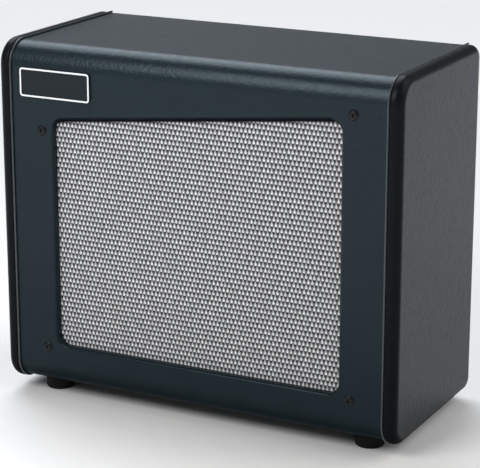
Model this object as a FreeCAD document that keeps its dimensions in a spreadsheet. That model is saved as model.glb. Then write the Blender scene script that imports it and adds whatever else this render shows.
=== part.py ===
import FreeCAD, Part
import math
import os
import re

import Sketcher
from FreeCAD import Placement, Rotation, Vector

# Guitar speaker cabinet with one 12-inch speaker, in millimetres.
# +X is to the right of the grille, +Y runs from the grille to the back, +Z is up.
# The origin is on the floor, in the middle of the cabinet's footprint.

# Driving dimensions: alias, value, meaning
SIZES = (
    # Box
    ("cab_width", 510, "width over both side panels"),
    ("cab_height", 420, "height of the box without its feet"),
    ("cab_depth", 235, "depth of a side panel"),
    ("foot_height", 13, "gap between the floor and the side panels"),
    ("side_board", 14, "thickness of a side board"),
    ("shell_board", 15, "thickness of the top and bottom boards"),
    ("front_board", 9, "thickness of the front board"),
    ("vinyl", 0.7, "thickness of the vinyl covering"),
    ("corner_radius", 30, "front corners of a side panel"),
    ("back_radius", 16, "back corners of a side panel"),
    ("edge_round", 10, "outer edge of a side panel"),
    ("inner_round", 3, "inner edge of a side panel"),
    ("turn_in", 12, "vinyl folded onto the inner face of a side board"),
    ("shell_inset", 2.8, "step from a side panel's edge down to the middle shell"),
    ("back_inset", 2, "step from a side panel's back edge to the middle shell"),
    ("wrapped_edge", 1.6, "rounding of the shell's wrapped back edges"),
    ("joint_gap", 0.6, "joint between the shell and a side panel, filled by the piping tape"),
    ("piping_bead", 2.6, "diameter of the piping bead"),
    ("bead_tuck", 1.1, "distance of the bead's middle from the seam"),
    ("tape_thickness", 0.5, "thickness of the piping tape"),
    ("tape_depth", 8, "how far the piping tape reaches into the joint"),
    ("batten", 18, "section of the corner battens"),
    # Front opening
    ("opening_side", 71, "distance of the opening from the cabinet's sides"),
    ("opening_bottom", 54.5, "distance of the opening's lower edge from the cabinet's underside"),
    ("opening_top_left", 89, "distance of the opening from the cabinet's top, at its left end"),
    ("opening_top_right", 50, "distance of the opening from the cabinet's top, at its right end"),
    ("opening_corner", 15, "corner radius of the opening"),
    ("opening_lip", 4, "rounding of the opening's front edge"),
    # Baffle and cloth
    ("baffle_board", 18, "thickness of the baffle board"),
    ("baffle_side_room", 19.6, "space between the baffle board and each side panel"),
    ("baffle_room", 2, "space between the baffle board and each corner moulding"),
    ("cloth", 0.8, "thickness of the grille cloth"),
    ("speaker_cutout", 283, "diameter of the baffle's speaker hole"),
    ("bolt_side", 14, "distance of the baffle bolts from the opening's sides"),
    ("bolt_below", 3.9, "how far the lower baffle bolts lie below the opening"),
    ("bolt_left_below", 14.2, "how far the upper left baffle bolt lies below the opening's corner"),
    ("bolt_right_above", 6, "how far the upper right baffle bolt lies above the opening's corner"),
    ("bolt_dia", 5, "diameter of the baffle and speaker bolts"),
    ("bolt_length", 29, "length of a baffle bolt under the cup washer's base"),
    ("bolt_head", 8.4, "head diameter of a baffle bolt"),
    ("bolt_dome", 0.7, "crown of a baffle bolt's head"),
    ("bolt_play", 0.5, "extra diameter of a hole that a bolt passes through"),
    ("cup_dia", 12.6, "outer diameter of a cup washer"),
    ("cup_height", 2, "height of a cup washer"),
    ("cup_rim", 0.5, "thickness of a cup washer's outer rim"),
    ("tee_dia", 17, "flange diameter of a tee nut"),
    ("tee_flange", 1.2, "flange thickness of a tee nut"),
    ("tee_barrel", 6.4, "barrel diameter of a tee nut"),
    ("tee_length", 9, "overall length of a tee nut"),
    ("tee_recess", 0.1, "depth of a tee nut's flange below the baffle's face"),
    ("fit_play", 0.1, "extra diameter of a hole round a close-fitting piece"),
    # Name plate, left bare
    ("badge_width", 94, "width of the name plate"),
    ("badge_height", 34, "height of the name plate"),
    ("badge_thick", 2.6, "thickness of the name plate at its border"),
    ("badge_corner", 4, "corner radius of the name plate"),
    ("badge_border", 2.2, "width of the raised border"),
    ("badge_field", 0.8, "depth of the field inside the border"),
    ("badge_side", 30, "distance of the name plate from the cabinet's left side"),
    ("badge_drop", 30, "distance of the name plate from the cabinet's top"),
    # Feet
    ("foot_dia", 36, "upper diameter of a rubber foot"),
    ("foot_taper", 1.2, "how much a foot's radius shrinks towards the floor"),
    ("foot_round", 2, "rounding of a foot's lower edge"),
    ("foot_side", 48, "distance of a foot's middle from the cabinet's side"),
    ("foot_inset", 43, "distance of a foot's middle from the front or back edge"),
    ("foot_counterbore", 14, "diameter of the screw recess under a foot"),
    ("foot_recess", 7, "depth of the screw recess under a foot"),
    ("foot_washer", 1.2, "thickness of a foot washer"),
    ("foot_washer_dia", 12, "diameter of a foot washer"),
    ("foot_screw", 4, "diameter of a foot screw"),
    ("foot_screw_length", 22, "length of a foot screw under its head"),
    ("foot_screw_head", 8, "head diameter of a foot screw"),
    ("foot_screw_crown", 2.8, "height of a foot screw's head"),
    # Back
    ("back_board", 9, "thickness of a back panel"),
    ("back_recess", 8, "distance of the back panels from the side panels' back edge"),
    ("back_gap", 1, "clearance round the back panels"),
    ("upper_back", 124, "height of the upper back panel"),
    ("lower_back", 124, "height of the lower back panel"),
    ("cleat", 18, "section of the back cleats"),
    ("screw_margin", 26, "distance of a corner screw from a back panel's edges"),
    ("screw_pitch", 130, "spacing of the screws along the top and bottom cleats"),
    ("panel_screw", 4, "diameter of a back panel screw"),
    ("panel_screw_head", 8, "head diameter of a back panel screw"),
    ("panel_screw_crown", 2.6, "head height of a back panel screw"),
    ("panel_screw_length", 22, "length of a back panel screw"),
    # Speaker, with depths measured back from the baffle's back face
    ("basket_dia", 309, "outer diameter of the basket's flange"),
    ("bolt_circle", 297, "diameter of the circle of speaker bolts"),
    ("gasket", 2, "thickness of the gasket between basket and baffle"),
    ("gasket_width", 10, "width of the gasket"),
    ("basket_sheet", 1.6, "thickness of the basket's sheet"),
    ("basket_rim", 136, "inner radius of the basket's flange"),
    ("shoulder_radius", 132, "radius at the basket's shoulder"),
    ("shoulder_depth", 13, "depth of the basket's shoulder"),
    ("landing_outer", 74, "outer radius of the spider landing"),
    ("landing_inner", 62, "inner radius of the spider landing"),
    ("landing_depth", 54, "depth of the spider landing"),
    ("basket_depth", 66, "depth of the basket's floor"),
    ("basket_hole", 32, "radius of the hole in the basket's floor"),
    ("window_inner", 88, "inner radius of a basket window"),
    ("window_outer", 122, "outer radius of a basket window"),
    ("window_narrow", 30, "width of a window at its inner end"),
    ("window_wide", 50, "width of a window at its outer end"),
    ("window_corner", 6, "corner radius of a window"),
    ("speaker_bolt_length", 20, "length of a speaker bolt under its head"),
    ("speaker_bolt_head", 9, "head diameter of a speaker bolt"),
    ("speaker_bolt_crown", 3.2, "head height of a speaker bolt"),
    ("bolt_washer", 1, "thickness of a speaker washer"),
    ("bolt_washer_dia", 11, "diameter of a speaker washer"),
    ("plate_radius", 62, "radius of the front plate and of the yoke's plate"),
    ("plate_thick", 8, "thickness of the front plate and of the yoke's plate"),
    ("magnet_radius", 73, "outer radius of the magnet"),
    ("magnet_hole", 36, "inner radius of the magnet"),
    ("magnet_thick", 20, "thickness of the magnet"),
    ("former_radius", 22.1, "inner radius of the voice-coil former"),
    ("former_wall", 0.35, "wall of the voice-coil former"),
    ("former_overhang", 4, "how far the former reaches past the front plate"),
    ("winding_wall", 0.6, "build of the voice-coil winding"),
    ("winding_length", 9, "length of the voice-coil winding"),
    ("coil_clearance", 0.4, "running clearance on each side of the voice coil"),
    ("cone_radius", 126, "outer radius of the cone"),
    ("cone_edge_depth", 1.2, "depth of the cone's edge"),
    ("cone_neck_depth", 46, "depth of the cone's neck"),
    ("neck_collar", 4, "length of the neck's glued collar"),
    ("cone_paper", 1, "thickness of the cone"),
    ("cap_radius", 36, "radius of the dust cap"),
    ("cap_rise", 15, "height of the dust cap's dome"),
    ("cap_wall", 0.8, "thickness of the dust cap"),
    ("soft_gap", 0.3, "gap between the moving cone and what flexes with it"),
    ("surround_roll", 2.2, "radius of a surround roll"),
    ("surround_wall", 0.7, "thickness of the surround"),
    ("surround_rim", 143.5, "outer radius of the surround"),
    ("surround_rolls", 2, "number of half rolls in the surround"),
    ("spider_roll", 2.2, "radius of a spider corrugation"),
    ("spider_wall", 0.6, "thickness of the spider"),
    ("spider_rolls", 8, "number of half corrugations in the spider"),
    # Speaker terminals
    ("terminal_radius", 100, "distance of the terminal board from the speaker's axis"),
    ("terminal_width", 66, "width of the terminal board"),
    ("terminal_length", 22, "length of the terminal board along the spoke"),
    ("terminal_board", 2, "thickness of the terminal board"),
    ("tag_spread", 52, "distance between the two terminals"),
    ("tag_width", 6.3, "width of a terminal"),
    ("tag_thick", 0.8, "thickness of a terminal"),
    ("tag_reach", 11, "how far a terminal sticks out past its board"),
    ("sleeve_width", 8.4, "width of a push-on connector"),
    ("sleeve_thick", 3.6, "thickness of a push-on connector"),
    ("sleeve_length", 16, "length of a push-on connector"),
    ("sleeve_grip", 0.6, "part of a connector's length that covers its terminal"),
    ("sleeve_play", 0.1, "clearance of a push-on connector round its terminal"),
    ("tinsel_dia", 1.4, "diameter of a tinsel lead"),
    ("tinsel_radius", 50, "distance of the tinsel leads' cone end from the axis"),
    ("tinsel_sag", 2, "bow of a tinsel lead"),
    # Input socket
    ("jack_plate_width", 92, "width of the jack plate"),
    ("jack_plate_height", 62, "height of the jack plate"),
    ("jack_plate", 1.5, "thickness of the jack plate"),
    ("jack_plate_corner", 6, "corner radius of the jack plate"),
    ("jack_plate_margin", 9, "distance of the plate's screws from its edges"),
    ("jack_cutout", 42, "diameter of the hole in the back panel behind the plate"),
    ("plate_screw", 3.5, "diameter of a jack plate screw"),
    ("plate_screw_head", 6.6, "head diameter of a jack plate screw"),
    ("plate_screw_crown", 2, "head height of a jack plate screw"),
    ("plate_screw_length", 8, "length of a jack plate screw"),
    ("socket_width", 18, "width and height of the socket's housing"),
    ("socket_length", 26, "length of the socket's housing"),
    ("socket_front", 4, "front wall of the socket's housing"),
    ("socket_wall", 2.5, "side walls of the socket's housing"),
    ("socket_bush", 9.4, "diameter of the socket's threaded bush"),
    ("socket_bush_length", 6, "length of the bush in front of the housing"),
    ("socket_bore", 6.5, "bore for a 6.35 mm plug"),
    ("socket_nut", 13, "width across flats of the socket's nut"),
    ("socket_nut_height", 2.6, "height of the socket's nut"),
    ("socket_washer", 0.8, "thickness of the socket's washer"),
    ("socket_washer_dia", 15, "diameter of the socket's washer"),
    ("end_cap", 3, "thickness of the socket's rear cap"),
    ("contact_width", 5, "width of a contact strip"),
    ("contact_thick", 0.5, "thickness of a contact strip"),
    ("contact_level", 4.4, "distance of the contact strips from the socket's axis"),
    ("contact_reach", 17, "length of a contact strip inside the socket"),
    ("contact_tail", 8, "length of a contact strip behind the rear cap"),
    ("contact_bend", 1.7, "depth of the tip contact's bend"),
    ("contact_play", 0.3, "clearance of a contact strip in the rear cap"),
    # Internal leads
    ("lead_dia", 2.4, "diameter of a speaker lead"),
    ("lead_pitch", 3.4, "distance between the two leads under the clips"),
    ("lead_drop", 16, "straight run of a lead out of its connector"),
    ("lead_hang", 20, "height of a lead's lower bend above the floor board"),
    ("lead_hang_back", 2, "how far a lead swings back on its way down"),
    ("lead_hang_spread", 42, "distance between the leads at that bend"),
    ("lead_landing", 38, "distance behind the baffle where the leads reach the floor board"),
    ("lead_landing_spread", 21, "distance between the leads there"),
    ("lead_run_start", 66, "distance behind the baffle where the leads run together"),
    ("lead_run", 50, "length of that run under the clips"),
    ("lead_lift", 22, "height of the leads' first bend behind the clips"),
    ("lead_lift_back", 26, "distance of that bend from the socket's contacts"),
    ("lead_climb", 18, "height of the leads' last bend below the contacts"),
    ("lead_climb_back", 22, "distance of that bend from the contacts"),
    ("lead_end", 12, "straight run of a lead before its contact"),
    ("lead_lap", 6, "overlap of a lead with its contact"),
    ("clip_width", 20, "width of a lead clip"),
    ("clip_depth", 8, "length of a lead clip along the leads"),
    ("clip_height", 5.6, "height of a lead clip"),
    ("clip_slot_height", 3.2, "height of a clip's slot for the leads"),
    ("clip_slot_play", 0.6, "width of the slot beyond the two leads"),
    ("clip_spread", 20, "distance between the two clips"),
    ("clip_screw", 3, "diameter of a clip screw"),
    ("clip_screw_head", 5.6, "head diameter of a clip screw"),
    ("clip_screw_crown", 1.8, "head height of a clip screw"),
    ("clip_screw_length", 13, "length of a clip screw"),
)

# Levels and places that follow from the driving dimensions: alias, formula, meaning
LAYOUT = (
    ("body_top", "foot_height + cab_height", "top of the side panels"),
    ("front_edge", "-cab_depth / 2", "front of the side panels"),
    ("back_edge", "cab_depth / 2", "back of the side panels"),
    ("seam", "cab_width / 2 - side_board - 2 * vinyl", "inner face of a side panel's vinyl"),
    ("side_face", "seam + vinyl", "inner face of a side board"),
    ("shell_half", "seam - joint_gap", "half width of the middle shell"),
    ("skin_front", "front_edge + shell_inset", "front face of the shell"),
    ("skin_back", "back_edge - back_inset", "back edge of the shell"),
    ("skin_top", "body_top - shell_inset", "top face of the shell"),
    ("skin_bottom", "foot_height + shell_inset", "underside of the shell"),
    ("skin_radius", "corner_radius - shell_inset", "front corners of the shell"),
    ("board_front", "skin_front + vinyl", "front face of the front board"),
    ("board_back", "skin_back - vinyl", "back edge of the top and bottom boards"),
    ("board_top", "skin_top - vinyl", "upper face of the top board"),
    ("board_bottom", "skin_bottom + vinyl", "underside of the bottom board"),
    ("moulding_radius", "skin_radius - vinyl", "radius of a corner moulding"),
    ("moulding_back", "board_front + moulding_radius", "back face of the corner mouldings"),
    ("front_low", "board_bottom + moulding_radius", "lower end of the front board"),
    ("front_high", "board_top - moulding_radius", "upper end of the front board"),
    ("ceiling", "board_top - shell_board", "underside of the top board"),
    ("inside_floor", "board_bottom + shell_board", "upper face of the bottom board"),
    ("cloth_front", "board_front + front_board", "front face of the cloth"),
    ("baffle_front", "cloth_front + cloth", "front face of the baffle board"),
    ("baffle_back", "baffle_front + baffle_board", "back face of the baffle board"),
    ("baffle_low", "front_low + baffle_room", "lower end of the baffle board"),
    ("baffle_high", "front_high - baffle_room", "upper end of the baffle board"),
    ("baffle_half", "seam - baffle_side_room", "half width of the baffle board"),
    ("speaker_level", "(baffle_low + baffle_high) / 2", "speaker axis above the floor"),
    ("opening_floor", "foot_height + opening_bottom", "lower edge of the opening"),
    ("opening_width", "cab_width - 2 * opening_side", "width of the opening"),
    ("opening_left", "cab_height - opening_bottom - opening_top_left", "height of the opening's left end"),
    ("opening_right", "cab_height - opening_bottom - opening_top_right", "height of its right end"),
    ("bolt_reach", "opening_width / 2 + bolt_side", "baffle bolts, from the cabinet's middle"),
    ("bolt_low", "opening_floor - bolt_below", "lower baffle bolts"),
    ("bolt_left_high", "opening_floor + opening_left - bolt_left_below", "upper left baffle bolt"),
    ("bolt_right_high", "opening_floor + opening_right + bolt_right_above", "upper right baffle bolt"),
    ("foot_reach", "cab_width / 2 - foot_side", "feet, from the cabinet's middle"),
    ("opening_slope", "(opening_right - opening_left) / opening_width", "slant of the opening's top"),
    ("lining_rise", "vinyl * sqrt(1 + opening_slope ^ 2)", "vinyl measured upwards on the slant"),
    ("back_face", "back_edge - back_recess", "outer face of the back panels"),
    ("back_inner", "back_face - back_board", "inner face of the back panels"),
    ("cleat_front", "back_inner - cleat", "front face of the back cleats"),
    ("upper_back_high", "ceiling - back_gap", "upper edge of the upper back panel"),
    ("upper_back_low", "upper_back_high - upper_back", "lower edge of the upper back panel"),
    ("lower_back_low", "inside_floor + back_gap", "lower edge of the lower back panel"),
    ("lower_back_high", "lower_back_low + lower_back", "upper edge of the lower back panel"),
    ("jack_level", "(lower_back_low + lower_back_high) / 2", "middle of the jack plate"),
    ("flange_back", "gasket + basket_sheet", "back of the basket's flange"),
    ("plate_front", "basket_depth + basket_sheet", "front of the front plate"),
    ("magnet_front", "plate_front + plate_thick", "front of the magnet"),
    ("yoke_front", "magnet_front + magnet_thick", "front of the yoke's plate"),
    ("former_outer", "former_radius + former_wall", "outer radius of the former"),
    ("winding_outer", "former_outer + winding_wall", "outer radius of the winding"),
    ("neck_inner", "former_outer + fit_play / 2", "inner radius of the cone's neck"),
    ("cone_run", "cone_radius - neck_inner", "width of the cone's wall"),
    ("cone_slope", "(cone_neck_depth - cone_edge_depth) / cone_run", "depth of the cone per radius"),
    ("cone_wall", "cone_paper * sqrt(1 + cone_slope ^ 2)", "cone's wall measured along its axis"),
    ("spoke_run", "shoulder_radius - landing_outer", "width of the basket's wall"),
    ("spoke_slope", "(landing_depth - shoulder_depth) / spoke_run", "depth of that wall per radius"),
    ("spoke_wall", "basket_sheet * sqrt(1 + spoke_slope ^ 2)", "sheet measured along the axis"),
    ("spoke_angle", "atan(spoke_slope)", "slant of the basket's wall"),
    ("terminal_depth", "shoulder_depth + spoke_slope * (shoulder_radius - terminal_radius) + spoke_wall",
     "depth of the terminal board's middle"),
    ("jack_inside", "back_face - socket_length", "inner end of the socket's housing"),
)

ALONG_Y = Rotation(Vector(1, 0, 0), -90)
TURNED_BACK = Rotation(Vector(0, 0, 1), 180)
POINTING_UP = Rotation(Vector(1, 0, 0), 90)
POINTING_DOWN = Rotation(Vector(1, 0, 0), -90)
SIDES = (-1, 1)
SPEAKER_BOLTS = 8
CROSS_SPAN = 0.55  # span of a screwdriver's cross, as a share of the head
CROSS_SLIMNESS = 9  # span of the cross, in half widths of its slot
CROSS_DEPTH = 0.6  # depth of the cross, as a share of a pan head's crown
PAN_ROUND = 0.6  # rounding of a pan head, as a share of its crown
DOME_SHOULDER = 0.8  # rise of a domed head halfway out, as a share of its crown
CONTACT_DIP = (0.4, 0.6, 0.8)  # start, middle and end of a contact's dip, as shares of its reach
TOUCH = 0.01  # how near an edge lies to a plane that it belongs to

SHEET_OF = {row[0]: "Sizes" for row in SIZES}
SHEET_OF.update({row[0]: "Layout" for row in LAYOUT})

doc = FreeCAD.newDocument("guitar_speaker_cabinet")
nodes = []


def full(expression):
    """Write each alias of an expression with the name of its sheet."""

    def named(word):
        alias = word.group(0)
        return f"{SHEET_OF[alias]}.{alias}" if alias in SHEET_OF else alias

    return re.sub(r"[a-z]\w*", named, expression)


def make_sheet(name, rows, formula):
    """Fill a spreadsheet with one aliased cell per row."""
    sheet = doc.addObject("Spreadsheet::Sheet", name)
    for line, (alias, value, meaning) in enumerate(rows, start=1):
        sheet.set(f"A{line}", meaning)
        sheet.set(f"B{line}", "=" + full(value) if formula else str(value))
        sheet.setAlias(f"B{line}", alias)
    doc.recompute()
    return sheet


sizes = make_sheet("Sizes", SIZES, formula=False)
layout = make_sheet("Layout", LAYOUT, formula=True)


def number(expression):
    """Value of an expression over the sheets."""
    value = layout.evalExpression(full(expression))
    return float(getattr(value, "Value", value))


def bind(item, prop, expression):
    """Tie a property to an expression over the sheets."""
    item.setExpression(prop, full(expression))


def place(item, x="0", y="0", z="0", rotation=None):
    """Set an item's place from expressions, and its turn if it has one."""
    if rotation is not None:
        item.Placement = Placement(Vector(), rotation)
    bind(item, "Placement.Base.x", x)
    bind(item, "Placement.Base.y", y)
    bind(item, "Placement.Base.z", z)


def node(item):
    """Keep an item as one of the cabinet's sub-parts."""
    nodes.append(item)
    return item


# Primitives and booleans


def box(label, low, high):
    """Block between two corners given as expressions."""
    item = doc.addObject("Part::Box", label)
    item.Label = label
    for prop, start, end in zip(("Length", "Width", "Height"), low, high):
        bind(item, prop, f"({end}) - ({start})")
    place(item, *low)
    return item


def rod(label, radius, length, at, rotation):
    """Cylinder that starts at a point and runs along its turned axis."""
    item = doc.addObject("Part::Cylinder", label)
    item.Label = label
    bind(item, "Radius", radius)
    bind(item, "Height", length)
    place(item, *at, rotation=rotation)
    return item


def cut(label, base, tools):
    """Take tools away from a base."""
    item = doc.addObject("Part::Cut", label)
    item.Label = label
    item.Base = base
    item.Tool = tools[0] if len(tools) == 1 else merged(f"{label}_tools", tools)
    return item


def merged(label, pieces):
    """Union of several pieces."""
    item = doc.addObject("Part::MultiFuse", label)
    item.Shapes = pieces
    return item


def copies(label, master, spots, rotation=None):
    """Group of copies of one piece, each at its own spot."""
    links = []
    for index, spot in enumerate(spots, start=1):
        link = doc.addObject("App::Link", f"{label}_{index}")
        link.LinkedObject = master
        place(link, *spot, rotation=rotation or master.Placement.Rotation)
        links.append(link)
    item = doc.addObject("Part::Compound", label)
    item.Label = label
    item.Links = links
    return node(item)


# Bodies, sketches and features


def body(label, x="0", y="0", z="0", rotation=None):
    """Empty body at a place."""
    item = doc.addObject("PartDesign::Body", label)
    item.Label = label
    place(item, x, y, z, rotation)
    return item


def sketch(owner, plane, lift=None):
    """Sketch on one of a body's origin planes, lifted along the plane's normal."""
    item = owner.newObject("Sketcher::SketchObject", f"{owner.Label}_sketch")
    support = next(face for face in owner.Origin.OriginFeatures if face.Role == plane)
    item.AttachmentSupport = [(support, "")]
    item.MapMode = "FlatFace"
    if lift is not None:
        bind(item, "AttachmentOffset.Base.z", lift)
    return item


def fix(profile, kind, *where, size):
    """Add a dimension whose value follows an expression."""
    index = profile.addConstraint(Sketcher.Constraint(kind, *where, number(size)))
    bind(profile, f"Constraints[{index}]", size)


def add_circles(profile, circles):
    """Draw circles (x, y, radius) given as expressions."""
    for x, y, radius in circles:
        centre = Vector(number(x), number(y), 0)
        circle = profile.addGeometry(Part.Circle(centre, Vector(0, 0, 1), number(radius)))
        fix(profile, "DistanceX", -1, 1, circle, 3, size=x)
        fix(profile, "DistanceY", -1, 1, circle, 3, size=y)
        fix(profile, "Radius", circle, size=radius)


def corner_ends(spots, radii, index):
    """Points where a rounded outline leaves its straight runs at one corner."""
    spot = spots[index]
    back = (spots[index - 1] - spot).normalize()
    ahead = (spots[(index + 1) % len(spots)] - spot).normalize()
    reach = radii[index] / math.tan(back.getAngle(ahead) / 2)
    return spot + back * reach, spot + ahead * reach


def add_arc(profile, start, end, spot, radius):
    """Draw the arc that rounds one corner; tells whether it runs with the outline."""
    bisector = ((start - spot).normalize() + (end - spot).normalize()).normalize()
    half_turn = (start - spot).getAngle(end - spot) / 2
    centre = spot + bisector * (radius / math.sin(half_turn))
    middle = centre - bisector * radius
    forward = (middle - start).cross(end - start).z > 0
    first, last = (start, end) if forward else (end, start)
    return profile.addGeometry(Part.Arc(first, middle, last)), forward


def add_outline(profile, corners):
    """Draw a closed outline whose corners are (x, y) or (x, y, radius) expressions."""
    spots = [Vector(number(corner[0]), number(corner[1]), 0) for corner in corners]
    radii = [number(corner[2]) if len(corner) > 2 else 0 for corner in corners]
    ends = [corner_ends(spots, radii, index) for index in range(len(corners))]
    lines = []
    for index in range(len(corners)):
        run = Part.LineSegment(ends[index][1], ends[(index + 1) % len(corners)][0])
        lines.append(profile.addGeometry(run))
    for index, corner in enumerate(corners):
        before, after = lines[index - 1], lines[index]
        if len(corner) == 2:
            profile.addConstraint(Sketcher.Constraint("Coincident", before, 2, after, 1))
            fix(profile, "DistanceX", -1, 1, after, 1, size=corner[0])
            fix(profile, "DistanceY", -1, 1, after, 1, size=corner[1])
            continue
        point = profile.addGeometry(Part.Point(spots[index]), True)
        fix(profile, "DistanceX", -1, 1, point, 1, size=corner[0])
        fix(profile, "DistanceY", -1, 1, point, 1, size=corner[1])
        arc, forward = add_arc(profile, *ends[index], spots[index], radii[index])
        start, end = (1, 2) if forward else (2, 1)
        profile.addConstraint(Sketcher.Constraint("PointOnObject", point, 1, before))
        profile.addConstraint(Sketcher.Constraint("PointOnObject", point, 1, after))
        profile.addConstraint(Sketcher.Constraint("Tangent", before, 2, arc, start))
        profile.addConstraint(Sketcher.Constraint("Tangent", arc, end, after, 1))
        fix(profile, "Radius", arc, size=corner[2])


def rectangle(low_x, low_y, high_x, high_y, radius=None):
    """Corners of a rectangle, rounded where a radius is given."""
    rounding = () if radius is None else (radius,)
    spots = ((low_x, low_y), (high_x, low_y), (high_x, high_y), (low_x, high_y))
    return [spot + rounding for spot in spots]


def pad(owner, profile, length, backwards=False, symmetric=False):
    """Extrude a sketch."""
    item = owner.newObject("PartDesign::Pad", f"{owner.Label}_pad")
    item.Profile = profile
    item.Reversed = backwards
    if symmetric:
        item.SideType = "Symmetric"
    bind(item, "Length", length)
    return item


def pocket(owner, profile, depth=None, backwards=False):
    """Cut a sketch into a body, right through where no depth is given."""
    doc.recompute()
    before = owner.Shape.Volume
    item = owner.newObject("PartDesign::Pocket", f"{owner.Label}_pocket")
    item.Profile = profile
    item.Reversed = backwards
    if depth is None:
        item.Type = "ThroughAll"
    else:
        bind(item, "Length", depth)
    doc.recompute()
    if not owner.Shape.Volume < before:
        raise RuntimeError(f"a pocket of {owner.Label} cuts nothing")
    return item


def turn(owner, corners, plane="XY_Plane"):
    """Revolve an outline of (radius, height) corners about the sketch's upright axis."""
    profile = sketch(owner, plane)
    add_outline(profile, corners)
    item = owner.newObject("PartDesign::Revolution", f"{owner.Label}_revolution")
    item.Profile = profile
    item.ReferenceAxis = (profile, ["V_Axis"])
    item.Angle = 360
    return item


def edges_in_plane(feature, axis, level, reach=None):
    """Names of a feature's edges in a plane across an axis, within reach of the middle in X."""
    names = []
    for index, edge in enumerate(feature.Shape.Edges, start=1):
        room = edge.BoundBox
        low, high = getattr(room, f"{axis}Min"), getattr(room, f"{axis}Max")
        near = reach is None or max(abs(room.XMin), abs(room.XMax)) < reach
        if near and abs(low - level) < TOUCH and abs(high - level) < TOUCH:
            names.append(f"Edge{index}")
    return names


def fillet(owner, feature, names, radius):
    """Round edges of a body's last feature."""
    item = owner.newObject("PartDesign::Fillet", f"{owner.Label}_fillet")
    item.Base = (feature, names)
    bind(item, "Radius", radius)
    doc.recompute()
    return item


def ring(label, inner, outer, thickness, at, holes=()):
    """Flat ring across the Y axis, with any holes through it."""
    owner = body(label, *at)
    profile = sketch(owner, "XZ_Plane")
    add_circles(profile, [("0", "0", outer), ("0", "0", inner), *holes])
    pad(owner, profile, thickness, backwards=True)
    return owner


def drilled_plate(label, at, outlines, thickness, holes, plane="XZ_Plane"):
    """Flat board from its outline, any openings and round holes."""
    owner = body(label, *at)
    profile = sketch(owner, plane)
    for corners in outlines:
        add_outline(profile, corners)
    add_circles(profile, holes)
    pad(owner, profile, thickness, backwards=plane == "XZ_Plane")
    return owner


def cross_recess(owner, span, level, depth):
    """Cut a cross for a screwdriver into a head whose top lies at a height before the origin."""
    profile = sketch(owner, "XZ_Plane", lift=level)
    tip, slot = f"({span}) / 2", f"({span}) / {CROSS_SLIMNESS}"
    signs = ((1, -1), (1, 1), (-1, 1), (-1, -1))
    corners = []
    for across, up in signs:
        arm = (f"{across} * {tip}", f"{up} * {slot}")
        inner = (f"{across} * {slot}", f"{up} * {slot}")
        post = (f"{across} * {slot}", f"{up} * {tip}")
        corners.extend((arm, inner, post)[:: across * up])
    add_outline(profile, corners)
    pocket(owner, profile, depth)


def pan_screw(label, shank, length, head, crown):
    """Pan-head screw along +Y, with its head before the origin."""
    owner = body(label)
    turn(owner, [
        ("0", f"-{crown}"),
        (f"{head} / 2", f"-{crown}", f"{crown} * {PAN_ROUND}"),
        (f"{head} / 2", "0"),
        (f"{shank} / 2", "0"),
        (f"{shank} / 2", f"{length} - {shank} / 2"),
        ("0", length),
    ])
    cross_recess(owner, f"{head} * {CROSS_SPAN}", crown, f"{crown} * {CROSS_DEPTH}")
    return owner


def tube_along(points, diameter):
    """Round tube along straight runs joined by arcs as large as the runs allow."""
    edges = []
    here = points[0]
    for index in range(1, len(points) - 1):
        corner = points[index]
        back, ahead = points[index - 1] - corner, points[index + 1] - corner
        reach = 0.45 * min(back.Length, ahead.Length)
        half_turn = (math.pi - back.getAngle(ahead)) / 2
        radius = reach / math.tan(half_turn)
        back.normalize()
        ahead.normalize()
        start, end = corner + back * reach, corner + ahead * reach
        inward = (back + ahead).normalize()
        middle = corner + inward * (radius / math.cos(half_turn) - radius)
        edges.append(Part.LineSegment(here, start).toShape())
        edges.append(Part.Arc(start, middle, end).toShape())
        here = end
        print(f"  bend radius {radius:.1f}")
    edges.append(Part.LineSegment(here, points[-1]).toShape())
    path = Part.Wire(edges)
    return swept_round(path, points[0], points[1] - points[0], diameter)


def swept_round(path, start, heading, diameter):
    """Round tube along a wire, compared with its section times its length."""
    section = Part.Wire(Part.makeCircle(diameter / 2, start, heading))
    tube = path.makePipeShell([section], True, False)
    expected = math.pi * diameter ** 2 / 4 * path.Length
    if abs(tube.Volume - expected) > 0.02 * expected:
        raise RuntimeError("a tube has the wrong volume")
    return tube


def shaped(label, shape, x="0", y="0", z="0"):
    """Sub-part whose solid is worked out from the sheets' values."""
    item = doc.addObject("Part::Feature", label)
    item.Label = label
    item.Shape = shape
    place(item, x, y, z)
    return node(item)


# Box


def side_block(label, margin, rounding_out, rounding_in, outer_first, x, thickness):
    """Side panel's block, drawn in by a margin, with rounded outer and inner edges."""
    owner = body(label, x=x)
    profile = sketch(owner, "YZ_Plane")
    front = f"corner_radius - {margin}"
    back = f"back_radius - {margin}"
    low, high = f"foot_height + {margin}", f"body_top - {margin}"
    add_outline(profile, [
        (f"back_edge - {margin}", low, back),
        (f"back_edge - {margin}", high, back),
        (f"front_edge + {margin}", high, front),
        (f"front_edge + {margin}", low, front),
    ])
    block = pad(owner, profile, thickness)
    doc.recompute()
    outer_level = 0 if outer_first else number(thickness)
    inner_level = number(thickness) - outer_level
    block = fillet(owner, block, edges_in_plane(block, "X", outer_level), rounding_out)
    fillet(owner, block, edges_in_plane(block, "X", inner_level), rounding_in)
    return owner


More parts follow.
